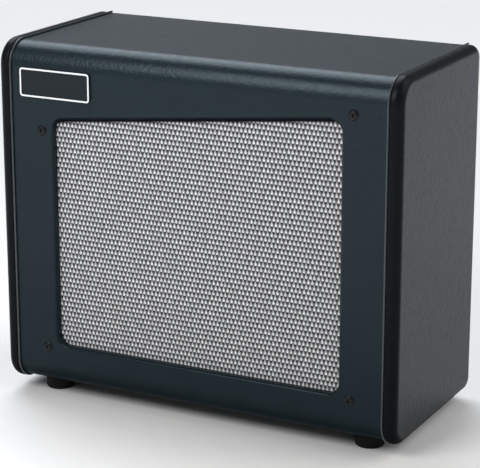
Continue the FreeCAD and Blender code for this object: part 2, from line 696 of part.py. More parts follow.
def side_panel(side, sign):
    """Side board and the vinyl that wraps it and turns in on its inner face."""
    outer_first = sign < 0
    board_x = "-(cab_width / 2 - vinyl)" if outer_first else "side_face"
    blank_x = "-cab_width / 2" if outer_first else "seam"
    board = node(side_block(
        f"{side}_side_panel", "vinyl", "edge_round - vinyl", "inner_round - vinyl",
        outer_first, board_x, "side_board"))
    blank = side_block(
        f"{side}_side_blank", "0", "edge_round", "inner_round",
        outer_first, blank_x, "side_board + 2 * vinyl")
    window_x = ("-side_face", "-seam") if outer_first else ("seam", "side_face")
    window = box(
        f"{side}_side_window",
        (window_x[0], "front_edge + turn_in", "foot_height + turn_in"),
        (window_x[1], "back_edge - turn_in", "body_top - turn_in"))
    node(cut(f"{side}_side_covering", blank, [board, window]))


def opening(margin, rise):
    """Corners of the front opening, widened by a margin and raised on its slant by a rise."""
    half = f"(opening_width / 2 + {margin})"
    radius = f"opening_corner + {margin}"
    top = f"opening_floor + {rise}"
    return [
        (f"-{half}", f"opening_floor - {margin}", radius),
        (half, f"opening_floor - {margin}", radius),
        (half, f"{top} + opening_right + opening_slope * {margin}", radius),
        (f"-{half}", f"{top} + opening_left - opening_slope * {margin}", radius),
    ]


BOLT_SPOTS = (
    ("-bolt_reach", "bolt_low"),
    ("bolt_reach", "bolt_low"),
    ("-bolt_reach", "bolt_left_high"),
    ("bolt_reach", "bolt_right_high"),
)
FOOT_SPOTS = (
    ("-foot_reach", "front_edge + foot_inset"),
    ("foot_reach", "front_edge + foot_inset"),
    ("-foot_reach", "back_edge - foot_inset"),
    ("foot_reach", "back_edge - foot_inset"),
)
CLIP_SLOT = "(lead_pitch + lead_dia + clip_slot_play) / 2"
CLIP_INNER = f"-({CLIP_SLOT}) - clip_height / 2"
CLIP_SCREW_X = f"{CLIP_INNER} + clip_width - clip_screw_head"


def bolt_holes(diameter):
    """Round holes at the four baffle bolts."""
    return [(x, z, f"({diameter}) / 2") for x, z in BOLT_SPOTS]


def foot_holes():
    """Round holes at the four foot screws."""
    return [(x, y, "(foot_screw + fit_play) / 2") for x, y in FOOT_SPOTS]


def clip_screw_holes(owner, floor):
    """Drill the lead clips' screw holes into a body's floor from above."""
    profile = sketch(owner, "XY_Plane", lift=floor)
    add_circles(profile, [(CLIP_SCREW_X, clip_y(sign), "(clip_screw + fit_play) / 2") for sign in SIDES])
    pocket(owner, profile, "clip_screw_length - clip_height + fit_play")


def shell_boards():
    """Top, bottom and front boards, with a quarter-round moulding in each front corner."""
    top = node(box(
        "top_panel",
        ("-shell_half", "moulding_back", "ceiling"),
        ("shell_half", "board_back", "board_top")))
    bottom = node(drilled_plate(
        "bottom_panel", ("0", "0", "board_bottom"),
        [rectangle("-shell_half", "moulding_back", "shell_half", "board_back")],
        "shell_board", foot_holes(), plane="XY_Plane"))
    clip_screw_holes(bottom, "shell_board")
    front = node(drilled_plate(
        "front_panel", ("0", "board_front", "0"),
        [rectangle("-shell_half", "front_low", "shell_half", "front_high"), opening("vinyl", "lining_rise")],
        "front_board", bolt_holes("bolt_dia + bolt_play")))
    doc.recompute()
    reach = number("opening_width / 2 + vinyl") + TOUCH
    lip = edges_in_plane(front.Tip, "Y", 0, reach)
    holes = edges_at_holes(front.Tip)
    fillet(front, front.Tip, [name for name in lip if name not in holes], "opening_lip - vinyl")
    mouldings = []
    upwards, forwards = Vector(0, 0, 1), Vector(0, -1, 0)
    turns = {
        "top_corner_moulding": (upwards, forwards, "front_high"),
        "bottom_corner_moulding": (forwards, -upwards, "front_low"),
    }
    for label, (first, second, level) in turns.items():
        rotation = Rotation(first, second, Vector(1, 0, 0), "XYZ")
        moulding = rod(
            label, "moulding_radius", "2 * shell_half", ("-shell_half", "moulding_back", level), rotation)
        moulding.Angle = 90
        mouldings.append(node(moulding))
    return [top, bottom, front, *mouldings]


def edges_at_holes(feature):
    """Names of a feature's full-circle edges."""
    names = []
    for index, edge in enumerate(feature.Shape.Edges, start=1):
        if edge.isClosed():
            names.append(f"Edge{index}")
    return names


def shell_covering(boards):
    """Vinyl in one piece over the top, front and bottom, rolled into the opening."""
    blank = body("shell_blank")
    profile = sketch(blank, "YZ_Plane")
    add_outline(profile, [
        ("skin_back", "skin_bottom", "wrapped_edge"),
        ("skin_back", "inside_floor"),
        ("moulding_back", "inside_floor"),
        ("moulding_back", "front_low"),
        ("cloth_front", "front_low"),
        ("cloth_front", "front_high"),
        ("moulding_back", "front_high"),
        ("moulding_back", "ceiling"),
        ("skin_back", "ceiling"),
        ("skin_back", "skin_top", "wrapped_edge"),
        ("skin_front", "skin_top", "skin_radius"),
        ("skin_front", "skin_bottom", "skin_radius"),
    ])
    pad(blank, profile, "2 * shell_half", symmetric=True)
    mouth = sketch(blank, "XZ_Plane")
    add_outline(mouth, opening("0", "0"))
    hole = pocket(blank, mouth, backwards=True)
    reach = number("opening_width / 2") + TOUCH
    fillet(blank, hole, edges_in_plane(hole, "Y", number("skin_front"), reach), "opening_lip")
    bolts = sketch(blank, "XZ_Plane")
    add_circles(bolts, bolt_holes("bolt_dia + bolt_play"))
    pocket(blank, bolts, backwards=True)
    feet = sketch(blank, "XY_Plane")
    add_circles(feet, foot_holes())
    pocket(blank, feet, "inside_floor", backwards=True)
    clip_screw_holes(blank, "inside_floor")
    node(cut("shell_covering", blank, boards))


def piping(side, sign):
    """Bead in a side seam over the top, front and bottom, with its tape in the joint."""
    half = "piping_bead / 2"
    owner = node(body(
        f"{side}_piping", x=f"{sign} * (seam - bead_tuck)", y="skin_back", z=f"skin_bottom - {half}"))
    length, rise = "skin_back - skin_front + piping_bead / 2", "skin_top - skin_bottom + piping_bead"
    path = sketch(owner, "YZ_Plane")
    bend = number("skin_radius + piping_bead / 2")
    far, high = number(length), number(rise)
    runs = [
        Part.LineSegment(Vector(0, 0, 0), Vector(bend - far, 0, 0)),
        Part.LineSegment(Vector(-far, bend, 0), Vector(-far, high - bend, 0)),
        Part.LineSegment(Vector(bend - far, high, 0), Vector(0, high, 0)),
    ]
    bottom, front, top = [path.addGeometry(run) for run in runs]
    middle = bend * math.sqrt(0.5)
    low_arc = path.addGeometry(Part.Arc(
        Vector(-far, bend, 0), Vector(bend - far - middle, bend - middle, 0), Vector(bend - far, 0, 0)))
    high_arc = path.addGeometry(Part.Arc(
        Vector(bend - far, high, 0), Vector(bend - far - middle, high - bend + middle, 0),
        Vector(-far, high - bend, 0)))
    for first, second in (((bottom, 2), (low_arc, 2)), ((low_arc, 1), (front, 1)),
                          ((front, 2), (high_arc, 2)), ((high_arc, 1), (top, 1))):
        path.addConstraint(Sketcher.Constraint("Tangent", *first, *second))
    path.addConstraint(Sketcher.Constraint("Coincident", bottom, 1, -1, 1))
    path.addConstraint(Sketcher.Constraint("Horizontal", bottom))
    path.addConstraint(Sketcher.Constraint("Horizontal", top))
    path.addConstraint(Sketcher.Constraint("PointOnObject", top, 2, -2))
    fix(path, "DistanceX", front, 1, -1, 1, size=length)
    fix(path, "DistanceY", -1, 1, top, 2, size=rise)
    fix(path, "Radius", low_arc, size="skin_radius + piping_bead / 2")
    fix(path, "Radius", high_arc, size="skin_radius + piping_bead / 2")
    round_section = sketch(owner, "XZ_Plane")
    add_circles(round_section, [("0", "0", half)])
    carried(owner, round_section, path)
    tape = sketch(owner, "XZ_Plane")
    near = f"{sign} * (bead_tuck - (joint_gap - tape_thickness) / 2 - tape_thickness)"
    far_side = f"{sign} * (bead_tuck - (joint_gap - tape_thickness) / 2)"
    spans = (near, far_side) if sign > 0 else (far_side, near)
    add_outline(tape, rectangle(spans[0], "0", spans[1], "tape_depth"))
    carried(owner, tape, path)


def carried(owner, section, path):
    """Carry a section along a path and add it to a body."""
    item = owner.newObject("PartDesign::AdditivePipe", f"{owner.Label}_pipe")
    item.Profile = section
    item.Spine = (path, [f"Edge{index}" for index in range(1, 6)])
    doc.recompute()
    return item


def corner_battens():
    """Four battens that tie the side boards to the top and bottom boards."""
    master = box(
        "corner_batten",
        ("side_face - batten", "moulding_back", "ceiling - batten"),
        ("side_face", "cleat_front", "ceiling"))
    copies("corner_battens", master, [
        (x, "moulding_back", z)
        for x in ("-side_face", "side_face - batten")
        for z in ("inside_floor", "ceiling - batten")
    ])


# Front dressing


def baffle():
    """Baffle board with its speaker hole, and the cloth stretched on its front."""
    board_outline = rectangle("-baffle_half", "baffle_low", "baffle_half", "baffle_high")
    barrel_holes = [(x, z, "(tee_barrel + fit_play) / 2") for x, z in speaker_bolt_spots()]
    board = node(drilled_plate(
        "baffle_board", ("0", "baffle_front", "0"), [board_outline], "baffle_board",
        [("0", "speaker_level", "speaker_cutout / 2"), *bolt_holes("tee_barrel + fit_play"), *barrel_holes]))
    seats = sketch(board, "XZ_Plane")
    add_circles(seats, [(x, z, "tee_dia / 2 + fit_play") for x, z in speaker_bolt_spots()])
    pocket(board, seats, "tee_flange + tee_recess")
    node(drilled_plate(
        "grille_cloth", ("0", "cloth_front", "0"), [board_outline], "cloth",
        bolt_holes("bolt_dia + bolt_play")))


def speaker_bolt_spots(level="speaker_level"):
    """Places of the speaker bolts, midway between the basket's spokes."""
    step = 360 / SPEAKER_BOLTS
    angles = [step * (index + 0.5) for index in range(SPEAKER_BOLTS)]
    return [
        (f"bolt_circle / 2 * sin({angle})", f"{level} + bolt_circle / 2 * cos({angle})")
        for angle in angles
    ]


def tee_nut():
    """Flanged nut along +Y with its flange at the origin."""
    owner = body("tee_nut")
    bore, barrel = "(bolt_dia + fit_play) / 2", "tee_barrel / 2"
    turn(owner, [
        (bore, "0"), ("tee_dia / 2", "0"), ("tee_dia / 2", "tee_flange"),
        (barrel, "tee_flange"), (barrel, "tee_length"), (bore, "tee_length"),
    ])
    return owner


def baffle_fasteners(nut):
    """Four bolts in cup washers through the front panel, into tee nuts behind the baffle."""
    seat, throat = "bolt_head / 2 + fit_play", "(bolt_dia + bolt_play) / 2"
    cup = body("baffle_cup_washer")
    turn(cup, [
        (throat, "0"), ("cup_dia / 2", "0"), ("cup_dia / 2", "-cup_rim"),
        (f"{seat} + cup_rim", "-cup_height", "cup_rim"), (seat, "-cup_height"),
    ])
    bolt = body("baffle_bolt")
    turn(bolt, [
        ("0", "-cup_height - bolt_dome"), ("bolt_head / 4", f"-cup_height - bolt_dome * {DOME_SHOULDER}"),
        ("bolt_head / 2", "-cup_height"), ("bolt_dia / 2", "0"), ("bolt_dia / 2", "bolt_length"),
        ("0", "bolt_length"),
    ])
    cross_recess(bolt, f"bolt_head * {CROSS_SPAN}", "cup_height + bolt_dome", "cup_height")
    spots = [(x, "skin_front", z) for x, z in BOLT_SPOTS]
    copies("baffle_cup_washers", cup, spots)
    copies("baffle_bolts", bolt, spots)
    behind = [(x, "baffle_back + tee_flange", z) for x, z in BOLT_SPOTS]
    copies("baffle_tee_nuts", nut, behind, TURNED_BACK)


def badge():
    """Bare name plate with a raised border."""
    owner = node(body(
        "badge_plate", x="badge_side + badge_width / 2 - cab_width / 2", y="skin_front - badge_thick",
        z="body_top - badge_drop - badge_height / 2"))
    profile = sketch(owner, "XZ_Plane")
    half_wide, half_tall = "badge_width / 2", "badge_height / 2"
    add_outline(profile, rectangle(
        f"-{half_wide}", f"-{half_tall}", half_wide, half_tall, "badge_corner"))
    pad(owner, profile, "badge_thick", backwards=True)
    field = sketch(owner, "XZ_Plane")
    wide, tall = f"({half_wide} - badge_border)", f"({half_tall} - badge_border)"
    add_outline(field, rectangle(f"-{wide}", f"-{tall}", wide, tall, "badge_corner - badge_border"))
    pocket(owner, field, "badge_field")


# Feet


def feet():
    """Four rubber feet, each held by a washer and a screw."""
    bore = "(foot_screw + bolt_play) / 2"
    foot = body("foot")
    turn(foot, [
        (bore, "foot_recess"), ("foot_counterbore / 2", "foot_recess"), ("foot_counterbore / 2", "0"),
        ("foot_dia / 2 - foot_taper", "0", "foot_round"), ("foot_dia / 2", "skin_bottom"),
        (bore, "skin_bottom"),
    ], plane="XZ_Plane")
    copies("feet", foot, [(x, y, "0") for x, y in FOOT_SPOTS])
    washer = ring("foot_washer", bore, "foot_washer_dia / 2", "foot_washer", ("0", "0", "0"))
    screw = pan_screw(
        "foot_screw", "foot_screw", "foot_screw_length", "foot_screw_head", "foot_screw_crown")
    spots = [(x, y, "foot_recess - foot_washer") for x, y in FOOT_SPOTS]
    copies("foot_washers", washer, spots, POINTING_UP)
    copies("foot_screws", screw, spots, POINTING_UP)


# Back


def back_screw_rows():
    """Screw places on the side cleats, the top cleat and the bottom cleat."""
    levels = (
        "lower_back_low + screw_margin", "lower_back_high - screw_margin",
        "upper_back_low + screw_margin", "upper_back_high - screw_margin",
    )
    across = [f"{step} * screw_pitch" for step in (-1, 0, 1)]
    sides = {sign: [(f"{sign} * (side_face - cleat / 2)", level) for level in levels] for sign in SIDES}
    top = [(x, "ceiling - cleat / 2") for x in across]
    bottom = [(x, "inside_floor + cleat / 2") for x in across]
    return sides, top, bottom


def cleat_block(label, low, high, screws):
    """Cleat with a hole for each screw that it takes."""
    blank = box(f"{label}_blank", low, high)
    holes = [
        rod(f"{label}_hole", "(panel_screw + fit_play) / 2", "cleat", (x, "cleat_front", z), ALONG_Y)
        for x, z in screws
    ]
    node(cut(label, blank, holes))


def back():
    """Upper and lower back panels, screwed to cleats and open between them."""
    sides, top, bottom = back_screw_rows()
    for side, sign in zip(("left", "right"), SIDES):
        near, far = ("-side_face", "cleat - side_face") if sign < 0 else ("side_face - cleat", "side_face")
        cleat_block(
            f"{side}_back_cleat", (near, "cleat_front", "inside_floor"), (far, "back_inner", "ceiling"),
            sides[sign])
    cleat_block(
        "top_back_cleat", ("cleat - side_face", "cleat_front", "ceiling - cleat"),
        ("side_face - cleat", "back_inner", "ceiling"), top)
    cleat_block(
        "bottom_back_cleat", ("cleat - side_face", "cleat_front", "inside_floor"),
        ("side_face - cleat", "back_inner", "inside_floor + cleat"), bottom)
    lower = [spot for sign in SIDES for spot in sides[sign][:2]] + bottom
    upper = [spot for sign in SIDES for spot in sides[sign][2:]] + top
    hole = "(panel_screw + fit_play) / 2"
    width = "seam - back_gap"
    node(drilled_plate(
        "upper_back_panel", ("0", "back_inner", "0"),
        [rectangle(f"-({width})", "upper_back_low", width, "upper_back_high")],
        "back_board", [(x, z, hole) for x, z in upper]))
    plate_holes = [(x, z, "(plate_screw + fit_play) / 2") for x, z in plate_screw_spots("jack_level + ")]
    node(drilled_plate(
        "lower_back_panel", ("0", "back_inner", "0"),
        [rectangle(f"-({width})", "lower_back_low", width, "lower_back_high")],
        "back_board",
        [("0", "jack_level", "jack_cutout / 2"), *plate_holes, *[(x, z, hole) for x, z in lower]]))
    screw = pan_screw(
        "back_panel_screw", "panel_screw", "panel_screw_length", "panel_screw_head", "panel_screw_crown")
    copies("back_panel_screws", screw, [(x, "back_face", z) for x, z in upper + lower], TURNED_BACK)


# Speaker


def speaker_at(depth):
    """Place on the speaker's axis, at a depth behind the baffle."""
    return ("0", f"baffle_back + {depth}", "speaker_level")


def basket():
    """Pressed basket: flange, windowed wall, spider landing and floor."""
    owner = node(body("speaker_basket", *speaker_at("0")))
    back_wall = "landing_depth + basket_sheet"
    turn(owner, [
        ("basket_dia / 2", "gasket"),
        ("basket_dia / 2", "flange_back"),
        ("basket_rim + basket_sheet", "flange_back"),
        ("shoulder_radius", "shoulder_depth + spoke_wall"),
        ("landing_outer + (spoke_wall - basket_sheet) / spoke_slope", back_wall),
        ("landing_inner + basket_sheet", back_wall),
        ("landing_inner + basket_sheet", "plate_front"),
        ("basket_hole", "plate_front"),
        ("basket_hole", "basket_depth"),
        ("landing_inner", "basket_depth"),
        ("landing_inner", "landing_depth"),
        ("landing_outer", "landing_depth"),
        ("shoulder_radius", "shoulder_depth"),
        ("basket_rim", "gasket"),
    ])
    step = 360 / SPEAKER_BOLTS
    for index in range(SPEAKER_BOLTS):
        angle = step * (index + 0.5)
        windows = sketch(owner, "XZ_Plane")
        add_outline(windows, window_corners(angle))
        pocket(owner, windows)
    holes = sketch(owner, "XZ_Plane")
    add_circles(holes, [(x, z, "(bolt_dia + bolt_play) / 2") for x, z in speaker_bolt_spots("0")])
    pocket(owner, holes)


def window_corners(angle):
    """Corners of one basket window, turned about the axis by an angle."""
    spots = (
        ("window_narrow / 2", "window_inner"), ("window_wide / 2", "window_outer"),
        ("-window_wide / 2", "window_outer"), ("-window_narrow / 2", "window_inner"),
    )
    return [
        (f"{side} * cos({angle}) + {out} * sin({angle})",
         f"{out} * cos({angle}) - {side} * sin({angle})", "window_corner")
        for side, out in spots
    ]


def speaker_motor():
    """Gasket, front plate, ring magnet and yoke with its pole piece."""
    holes = [(x, z, "(bolt_dia + bolt_play) / 2") for x, z in speaker_bolt_spots("0")]
    node(ring(
        "speaker_gasket", "basket_dia / 2 - gasket_width", "basket_dia / 2", "gasket",
        speaker_at("0"), holes))
    node(ring(
        "speaker_front_plate", "winding_outer + coil_clearance", "plate_radius", "plate_thick",
        speaker_at("plate_front")))
    node(ring("speaker_magnet", "magnet_hole", "magnet_radius", "magnet_thick", speaker_at("magnet_front")))
    yoke = node(body("speaker_yoke", *speaker_at("0")))
    pole = "former_radius - coil_clearance"
    turn(yoke, [
        ("0", "plate_front"), (pole, "plate_front"), (pole, "yoke_front"), ("plate_radius", "yoke_front"),
        ("plate_radius", "yoke_front + plate_thick"), ("0", "yoke_front + plate_thick"),
    ])


def moving_assembly():
    """Cone, dust cap, voice-coil former and winding, which travel together."""
    cone = node(body("speaker_cone", *speaker_at("0")))
    collar_end = "cone_neck_depth + neck_collar"
    turn(cone, [
        ("cone_radius", "cone_edge_depth"),
        ("cone_radius", "cone_edge_depth + cone_wall"),
        ("neck_inner + cone_paper", "cone_neck_depth + cone_wall - cone_slope * cone_paper"),
        ("neck_inner + cone_paper", collar_end),
        ("neck_inner", collar_end),
        ("neck_inner", "cone_neck_depth"),
    ])
    node(ring(
        "voice_coil_former", "former_radius", "former_outer",
        "magnet_front + former_overhang - cone_neck_depth", speaker_at("cone_neck_depth")))
    node(ring(
        "voice_coil_winding", "former_outer", "winding_outer", "winding_length",
        speaker_at("plate_front + plate_thick / 2 - winding_length / 2")))
    seat = number("cone_edge_depth + cone_slope * (cone_radius - cap_radius) - fit_play / 2")
    shaped("speaker_dust_cap", domed_cap(seat), *speaker_at("0"))


def domed_cap(seat):
    """Spherical cap of even thickness whose rim lies at a depth on the speaker's axis."""
    rim, rise, wall = number("cap_radius"), number("cap_rise"), number("cap_wall")
    sphere = (rim ** 2 + rise ** 2) / (2 * rise)
    centre = seat - rise + sphere
    inner = sphere - wall
    rim_inner = math.sqrt(inner ** 2 - (centre - seat) ** 2)
    half = math.asin(rim / sphere) / 2
    half_inner = math.asin(rim_inner / inner) / 2
    outside = Part.Arc(
        Vector(rim, seat, 0),
        Vector(sphere * math.sin(half), centre - sphere * math.cos(half), 0),
        Vector(0, centre - sphere, 0))
    inside = Part.Arc(
        Vector(0, centre - inner, 0),
        Vector(inner * math.sin(half_inner), centre - inner * math.cos(half_inner), 0),
        Vector(rim_inner, seat, 0))
    crown = Part.LineSegment(Vector(0, centre - sphere, 0), Vector(0, centre - inner, 0))
    foot = Part.LineSegment(Vector(rim_inner, seat, 0), Vector(rim, seat, 0))
    return revolved([outside, crown, inside, foot])


def revolved(curves):
    """Solid of revolution about the Y axis from closed curves in the XY plane."""
    wire = Part.Wire([curve.toShape() for curve in curves])
    return Part.Face(wire).revolve(Vector(0, 0, 0), Vector(0, 1, 0), 360)


def corrugated_ring(start, rolls, roll, wall, depth, rim):
    """Ring of half-round rolls, first bulging forwards, then back, with a flat outer rim.

    Roll k has its middle at radius start + roll * (2 k + 1); both faces are arcs about that
    middle, half a wall outside and inside the roll's own radius.
    """
    front, rear = [], []
    for index in range(rolls):
        middle = start + roll * (2 * index + 1)
        bulge = -1 if index % 2 == 0 else 1
        for face, offset in ((front, -bulge * wall / 2), (rear, bulge * wall / 2)):
            radius = roll + offset
            face.append(Part.Arc(
                Vector(middle - radius, depth, 0),
                Vector(middle, depth + bulge * radius, 0),
                Vector(middle + radius, depth, 0)))
    outer_end = Part.LineSegment(front[-1].EndPoint, rear[-1].EndPoint)
    inner_end = Part.LineSegment(rear[0].StartPoint, front[0].StartPoint)
    rolled = revolved([*front, outer_end, *reversed(rear), inner_end])
    rim_start = start + 2 * roll * rolls - wall / 2
    corners = [
        Vector(rim_start, depth - wall / 2, 0), Vector(rim, depth - wall / 2, 0),
        Vector(rim, depth + wall / 2, 0), Vector(rim_start, depth + wall / 2, 0),
    ]
    sides = [Part.LineSegment(corners[index - 1], corners[index]) for index in range(4)]
    return rolled.fuse(revolved(sides)).removeSplitter()


def suspension():
    """Surround at the cone's edge and corrugated spider at its neck."""
    wall = number("surround_wall")
    surround = corrugated_ring(
        number("cone_radius + soft_gap + surround_wall / 2"), int(number("surround_rolls")),
        number("surround_roll"), wall, number("gasket") - wall / 2, number("surround_rim"))
    shaped("speaker_surround", surround, *speaker_at("0"))
    wall = number("spider_wall")
    spider = corrugated_ring(
        number("former_outer + soft_gap + spider_wall / 2"), int(number("spider_rolls")),
        number("spider_roll"), wall, number("landing_depth") - wall / 2, number("landing_outer"))
    shaped("speaker_spider", spider, *speaker_at("0"))


def speaker_fasteners(nut):
    """Bolts and washers from behind the flange into tee nuts in the baffle's front."""
    copies(
        "speaker_tee_nuts", nut, [(x, "baffle_front + tee_recess", z) for x, z in speaker_bolt_spots()])
    washer = ring(
        "speaker_washer", "(bolt_dia + fit_play) / 2", "bolt_washer_dia / 2", "bolt_washer", ("0", "0", "0"))
    copies(
        "speaker_washers", washer,
        [(x, "baffle_back + flange_back", z) for x, z in speaker_bolt_spots()])
    bolt = pan_screw(
        "speaker_bolt", "bolt_dia", "speaker_bolt_length", "speaker_bolt_head", "speaker_bolt_crown")
    copies(
        "speaker_bolts", bolt,
        [(x, "baffle_back + flange_back + bolt_washer", z) for x, z in speaker_bolt_spots()],
        TURNED_BACK)


def terminal_place(item, x="0"):
    """Set an item on the basket's lowest spoke, leaning with it."""
    place(
        item, x, "baffle_back + terminal_depth", "speaker_level - terminal_radius",
        Rotation(Vector(-1, 0, 0), number("spoke_angle")))
    bind(item, "Placement.Rotation.Angle", "spoke_angle")


def terminals():
    """Terminal board on the lowest spoke, with two terminals and their push-on connectors."""
    board = node(body("speaker_terminal_board"))
    terminal_place(board)
    profile = sketch(board, "XZ_Plane")
    half_wide, half_long = "terminal_width / 2", "terminal_length / 2"
    add_outline(profile, rectangle(f"-{half_wide}", f"-{half_long}", half_wide, half_long, "basket_sheet"))
    pad(board, profile, "terminal_board", backwards=True)
    tag = body("speaker_terminal")
    terminal_place(tag)
    strip = sketch(tag, "XZ_Plane", lift="-terminal_board")
    add_outline(strip, rectangle(
        "-tag_width / 2", f"-{half_long} - tag_reach", "tag_width / 2", f"{half_long} - tag_width / 2"))
    pad(tag, strip, "tag_thick", backwards=True)
    sleeve = body("lead_connector")
    terminal_place(sleeve)
    middle = "(terminal_board + tag_thick / 2)"
    end = f"-{half_long} - tag_reach + sleeve_length * sleeve_grip"
    shell = sketch(sleeve, "XY_Plane", lift=f"{end} - sleeve_length")
    add_outline(shell, rectangle(
        "-sleeve_width / 2", f"{middle} - sleeve_thick / 2", "sleeve_width / 2",
        f"{middle} + sleeve_thick / 2", "sleeve_thick / 4"))
    pad(sleeve, shell, "sleeve_length")
    slot = sketch(sleeve, "XY_Plane", lift=end)
    add_outline(slot, rectangle(
        "-tag_width / 2 - sleeve_play", f"{middle} - tag_thick / 2 - sleeve_play",
        "tag_width / 2 + sleeve_play", f"{middle} + tag_thick / 2 + sleeve_play"))
    pocket(sleeve, slot, "sleeve_length * sleeve_grip + sleeve_play")
    for label, master in (("speaker_terminals", tag), ("lead_connectors", sleeve)):
        links = []
        for sign in SIDES:
            link = doc.addObject("App::Link", f"{label}_link")
            link.LinkedObject = master
            terminal_place(link, f"{sign} * tag_spread / 2")
            links.append(link)
        group = doc.addObject("Part::Compound", label)
        group.Label = label
        group.Links = links
        node(group)


def spoke_point(along, out):
    """Depth and height, from the speaker's axis, of a point in the terminal board's frame."""
    angle = math.radians(number("spoke_angle"))
    depth = number("terminal_depth") + along * math.sin(angle) + out * math.cos(angle)
    height = -number("terminal_radius") + along * math.cos(angle) - out * math.sin(angle)
    return depth, height


def tinsel_leads():
    """Two flexible leads that bow from the terminal board to the back of the cone."""
    diameter, sag = number("tinsel_dia"), number("tinsel_sag")
    across = number("tag_spread") / 2
    depth, height = spoke_point(number("terminal_length / 4"), -diameter / 2)
    cone_radius = number("tinsel_radius")
    cone_back = "cone_edge_depth + cone_slope * (cone_radius - tinsel_radius) + cone_wall"
    cone_depth = number(f"{cone_back} + tinsel_dia / 2 + soft_gap")
    end_height = -math.sqrt(cone_radius ** 2 - across ** 2)
    leads = []
    for sign in SIDES:
        start = Vector(sign * across, depth, height)
        end = Vector(sign * across, cone_depth, end_height)
        middle = (start + end) * 0.5 + Vector(0, sag, 0)
        bow = Part.Arc(start, middle, end)
        heading = bow.tangent(bow.FirstParameter)[0]
        leads.append(swept_round(Part.Wire([bow.toShape()]), start, heading, diameter))
    shaped("tinsel_leads", Part.makeCompound(leads), *speaker_at("0"))


# Input socket and internal leads


def plate_screw_spots(level=""):
    """Corner screws of the jack plate, measured from its middle or from the floor."""
    x = "(jack_plate_width / 2 - jack_plate_margin)"
    z = "(jack_plate_height / 2 - jack_plate_margin)"
    return [(f"{across} * {x}", f"{level}{up} * {z}") for across in SIDES for up in SIDES]


def jack_plate():
    """Steel plate on the lower back panel that carries the input socket."""
    half_wide, half_tall = "jack_plate_width / 2", "jack_plate_height / 2"
    holes = [(x, z, "(plate_screw + fit_play) / 2") for x, z in plate_screw_spots()]
    node(drilled_plate(
        "jack_plate", ("0", "back_face", "jack_level"),
        [rectangle(f"-{half_wide}", f"-{half_tall}", half_wide, half_tall, "jack_plate_corner")],
        "jack_plate", [("0", "0", "(socket_bush + fit_play) / 2"), *holes]))
    screw = pan_screw(
        "jack_plate_screw", "plate_screw", "plate_screw_length", "plate_screw_head", "plate_screw_crown")
    copies(
        "jack_plate_screws", screw,
        [(x, "back_face + jack_plate", z) for x, z in plate_screw_spots("jack_level + ")], TURNED_BACK)


def jack_socket():
    """Socket housing with a threaded bush, open at its inner end."""
    owner = node(body("jack_socket", y="back_face", z="jack_level"))
    half, inside = "socket_width / 2", "(socket_width / 2 - socket_wall)"
    block = sketch(owner, "XZ_Plane")
    add_outline(block, rectangle(f"-{half}", f"-{half}", half, half, "socket_wall / 2"))
    pad(owner, block, "socket_length")
    bush = sketch(owner, "XZ_Plane")
    add_circles(bush, [("0", "0", "socket_bush / 2")])
    pad(owner, bush, "socket_bush_length", backwards=True)
    cavity = sketch(owner, "XZ_Plane", lift="socket_length")
    add_outline(cavity, rectangle(f"-{inside}", f"-{inside}", inside, inside))
    pocket(owner, cavity, "socket_length - socket_front")
    bore = sketch(owner, "XZ_Plane", lift="socket_front")
    add_circles(bore, [("0", "0", "socket_bore / 2")])
    pocket(owner, bore, "socket_front + socket_bush_length")


def jack_hardware():
    """Washer and nut that clamp the socket to its plate."""
    node(ring(
        "jack_washer", "(socket_bush + fit_play) / 2", "socket_washer_dia / 2", "socket_washer",
        ("0", "back_face + jack_plate", "jack_level")))
    nut = node(body("jack_nut", y="back_face + jack_plate + socket_washer", z="jack_level"))
    profile = sketch(nut, "XZ_Plane")
    corner = "socket_nut / sqrt(3)"
    add_outline(profile, [
        (f"{corner} * cos({angle})", f"{corner} * sin({angle})") for angle in range(0, 360, 60)])
    add_circles(profile, [("0", "0", "(socket_bush + fit_play) / 2")])
    pad(nut, profile, "socket_nut_height", backwards=True)


def jack_contacts():
    """Rear cap of the socket and the two contact strips that pass through it."""
    top, low = "contact_level + contact_thick / 2", "contact_level - contact_thick / 2"
    half = "(contact_width / 2 + contact_play)"
    inside = "(socket_width / 2 - socket_wall - fit_play / 2)"
    swing = "(contact_thick / 2 + contact_play)"
    slots = [
        rectangle(f"-{half}", f"contact_level - {swing}", half, f"contact_level + {swing}"),
        rectangle("-contact_width / 2", f"-({top})", "contact_width / 2", f"-({low})"),
    ]
    node(drilled_plate(
        "jack_rear_cap", ("0", "jack_inside", "jack_level"),
        [rectangle(f"-{inside}", f"-{inside}", inside, inside), *slots], "end_cap", []))
    reach, bend = "end_cap + contact_reach", "contact_bend"
    dip_start, dip_middle, dip_end = [f"end_cap + contact_reach * {share}" for share in CONTACT_DIP]
    strip = node(body("jack_tip_contact", y="jack_inside", z="jack_level"))
    profile = sketch(strip, "YZ_Plane")
    add_outline(profile, [
        ("-contact_tail", low), (dip_start, low), (dip_middle, f"{low} - {bend}"), (dip_end, low),
        (reach, low), (reach, top), (dip_end, top), (dip_middle, f"{top} - {bend}"), (dip_start, top),
        ("-contact_tail", top),
    ])
    pad(strip, profile, "contact_width", symmetric=True)
    sleeve = node(body("jack_sleeve_contact", y="jack_inside", z="jack_level"))
    profile = sketch(sleeve, "YZ_Plane")
    add_outline(profile, rectangle(
        "-contact_tail", f"-({top})", "socket_length - socket_front", f"-({low})"))
    pad(sleeve, profile, "contact_width", symmetric=True)


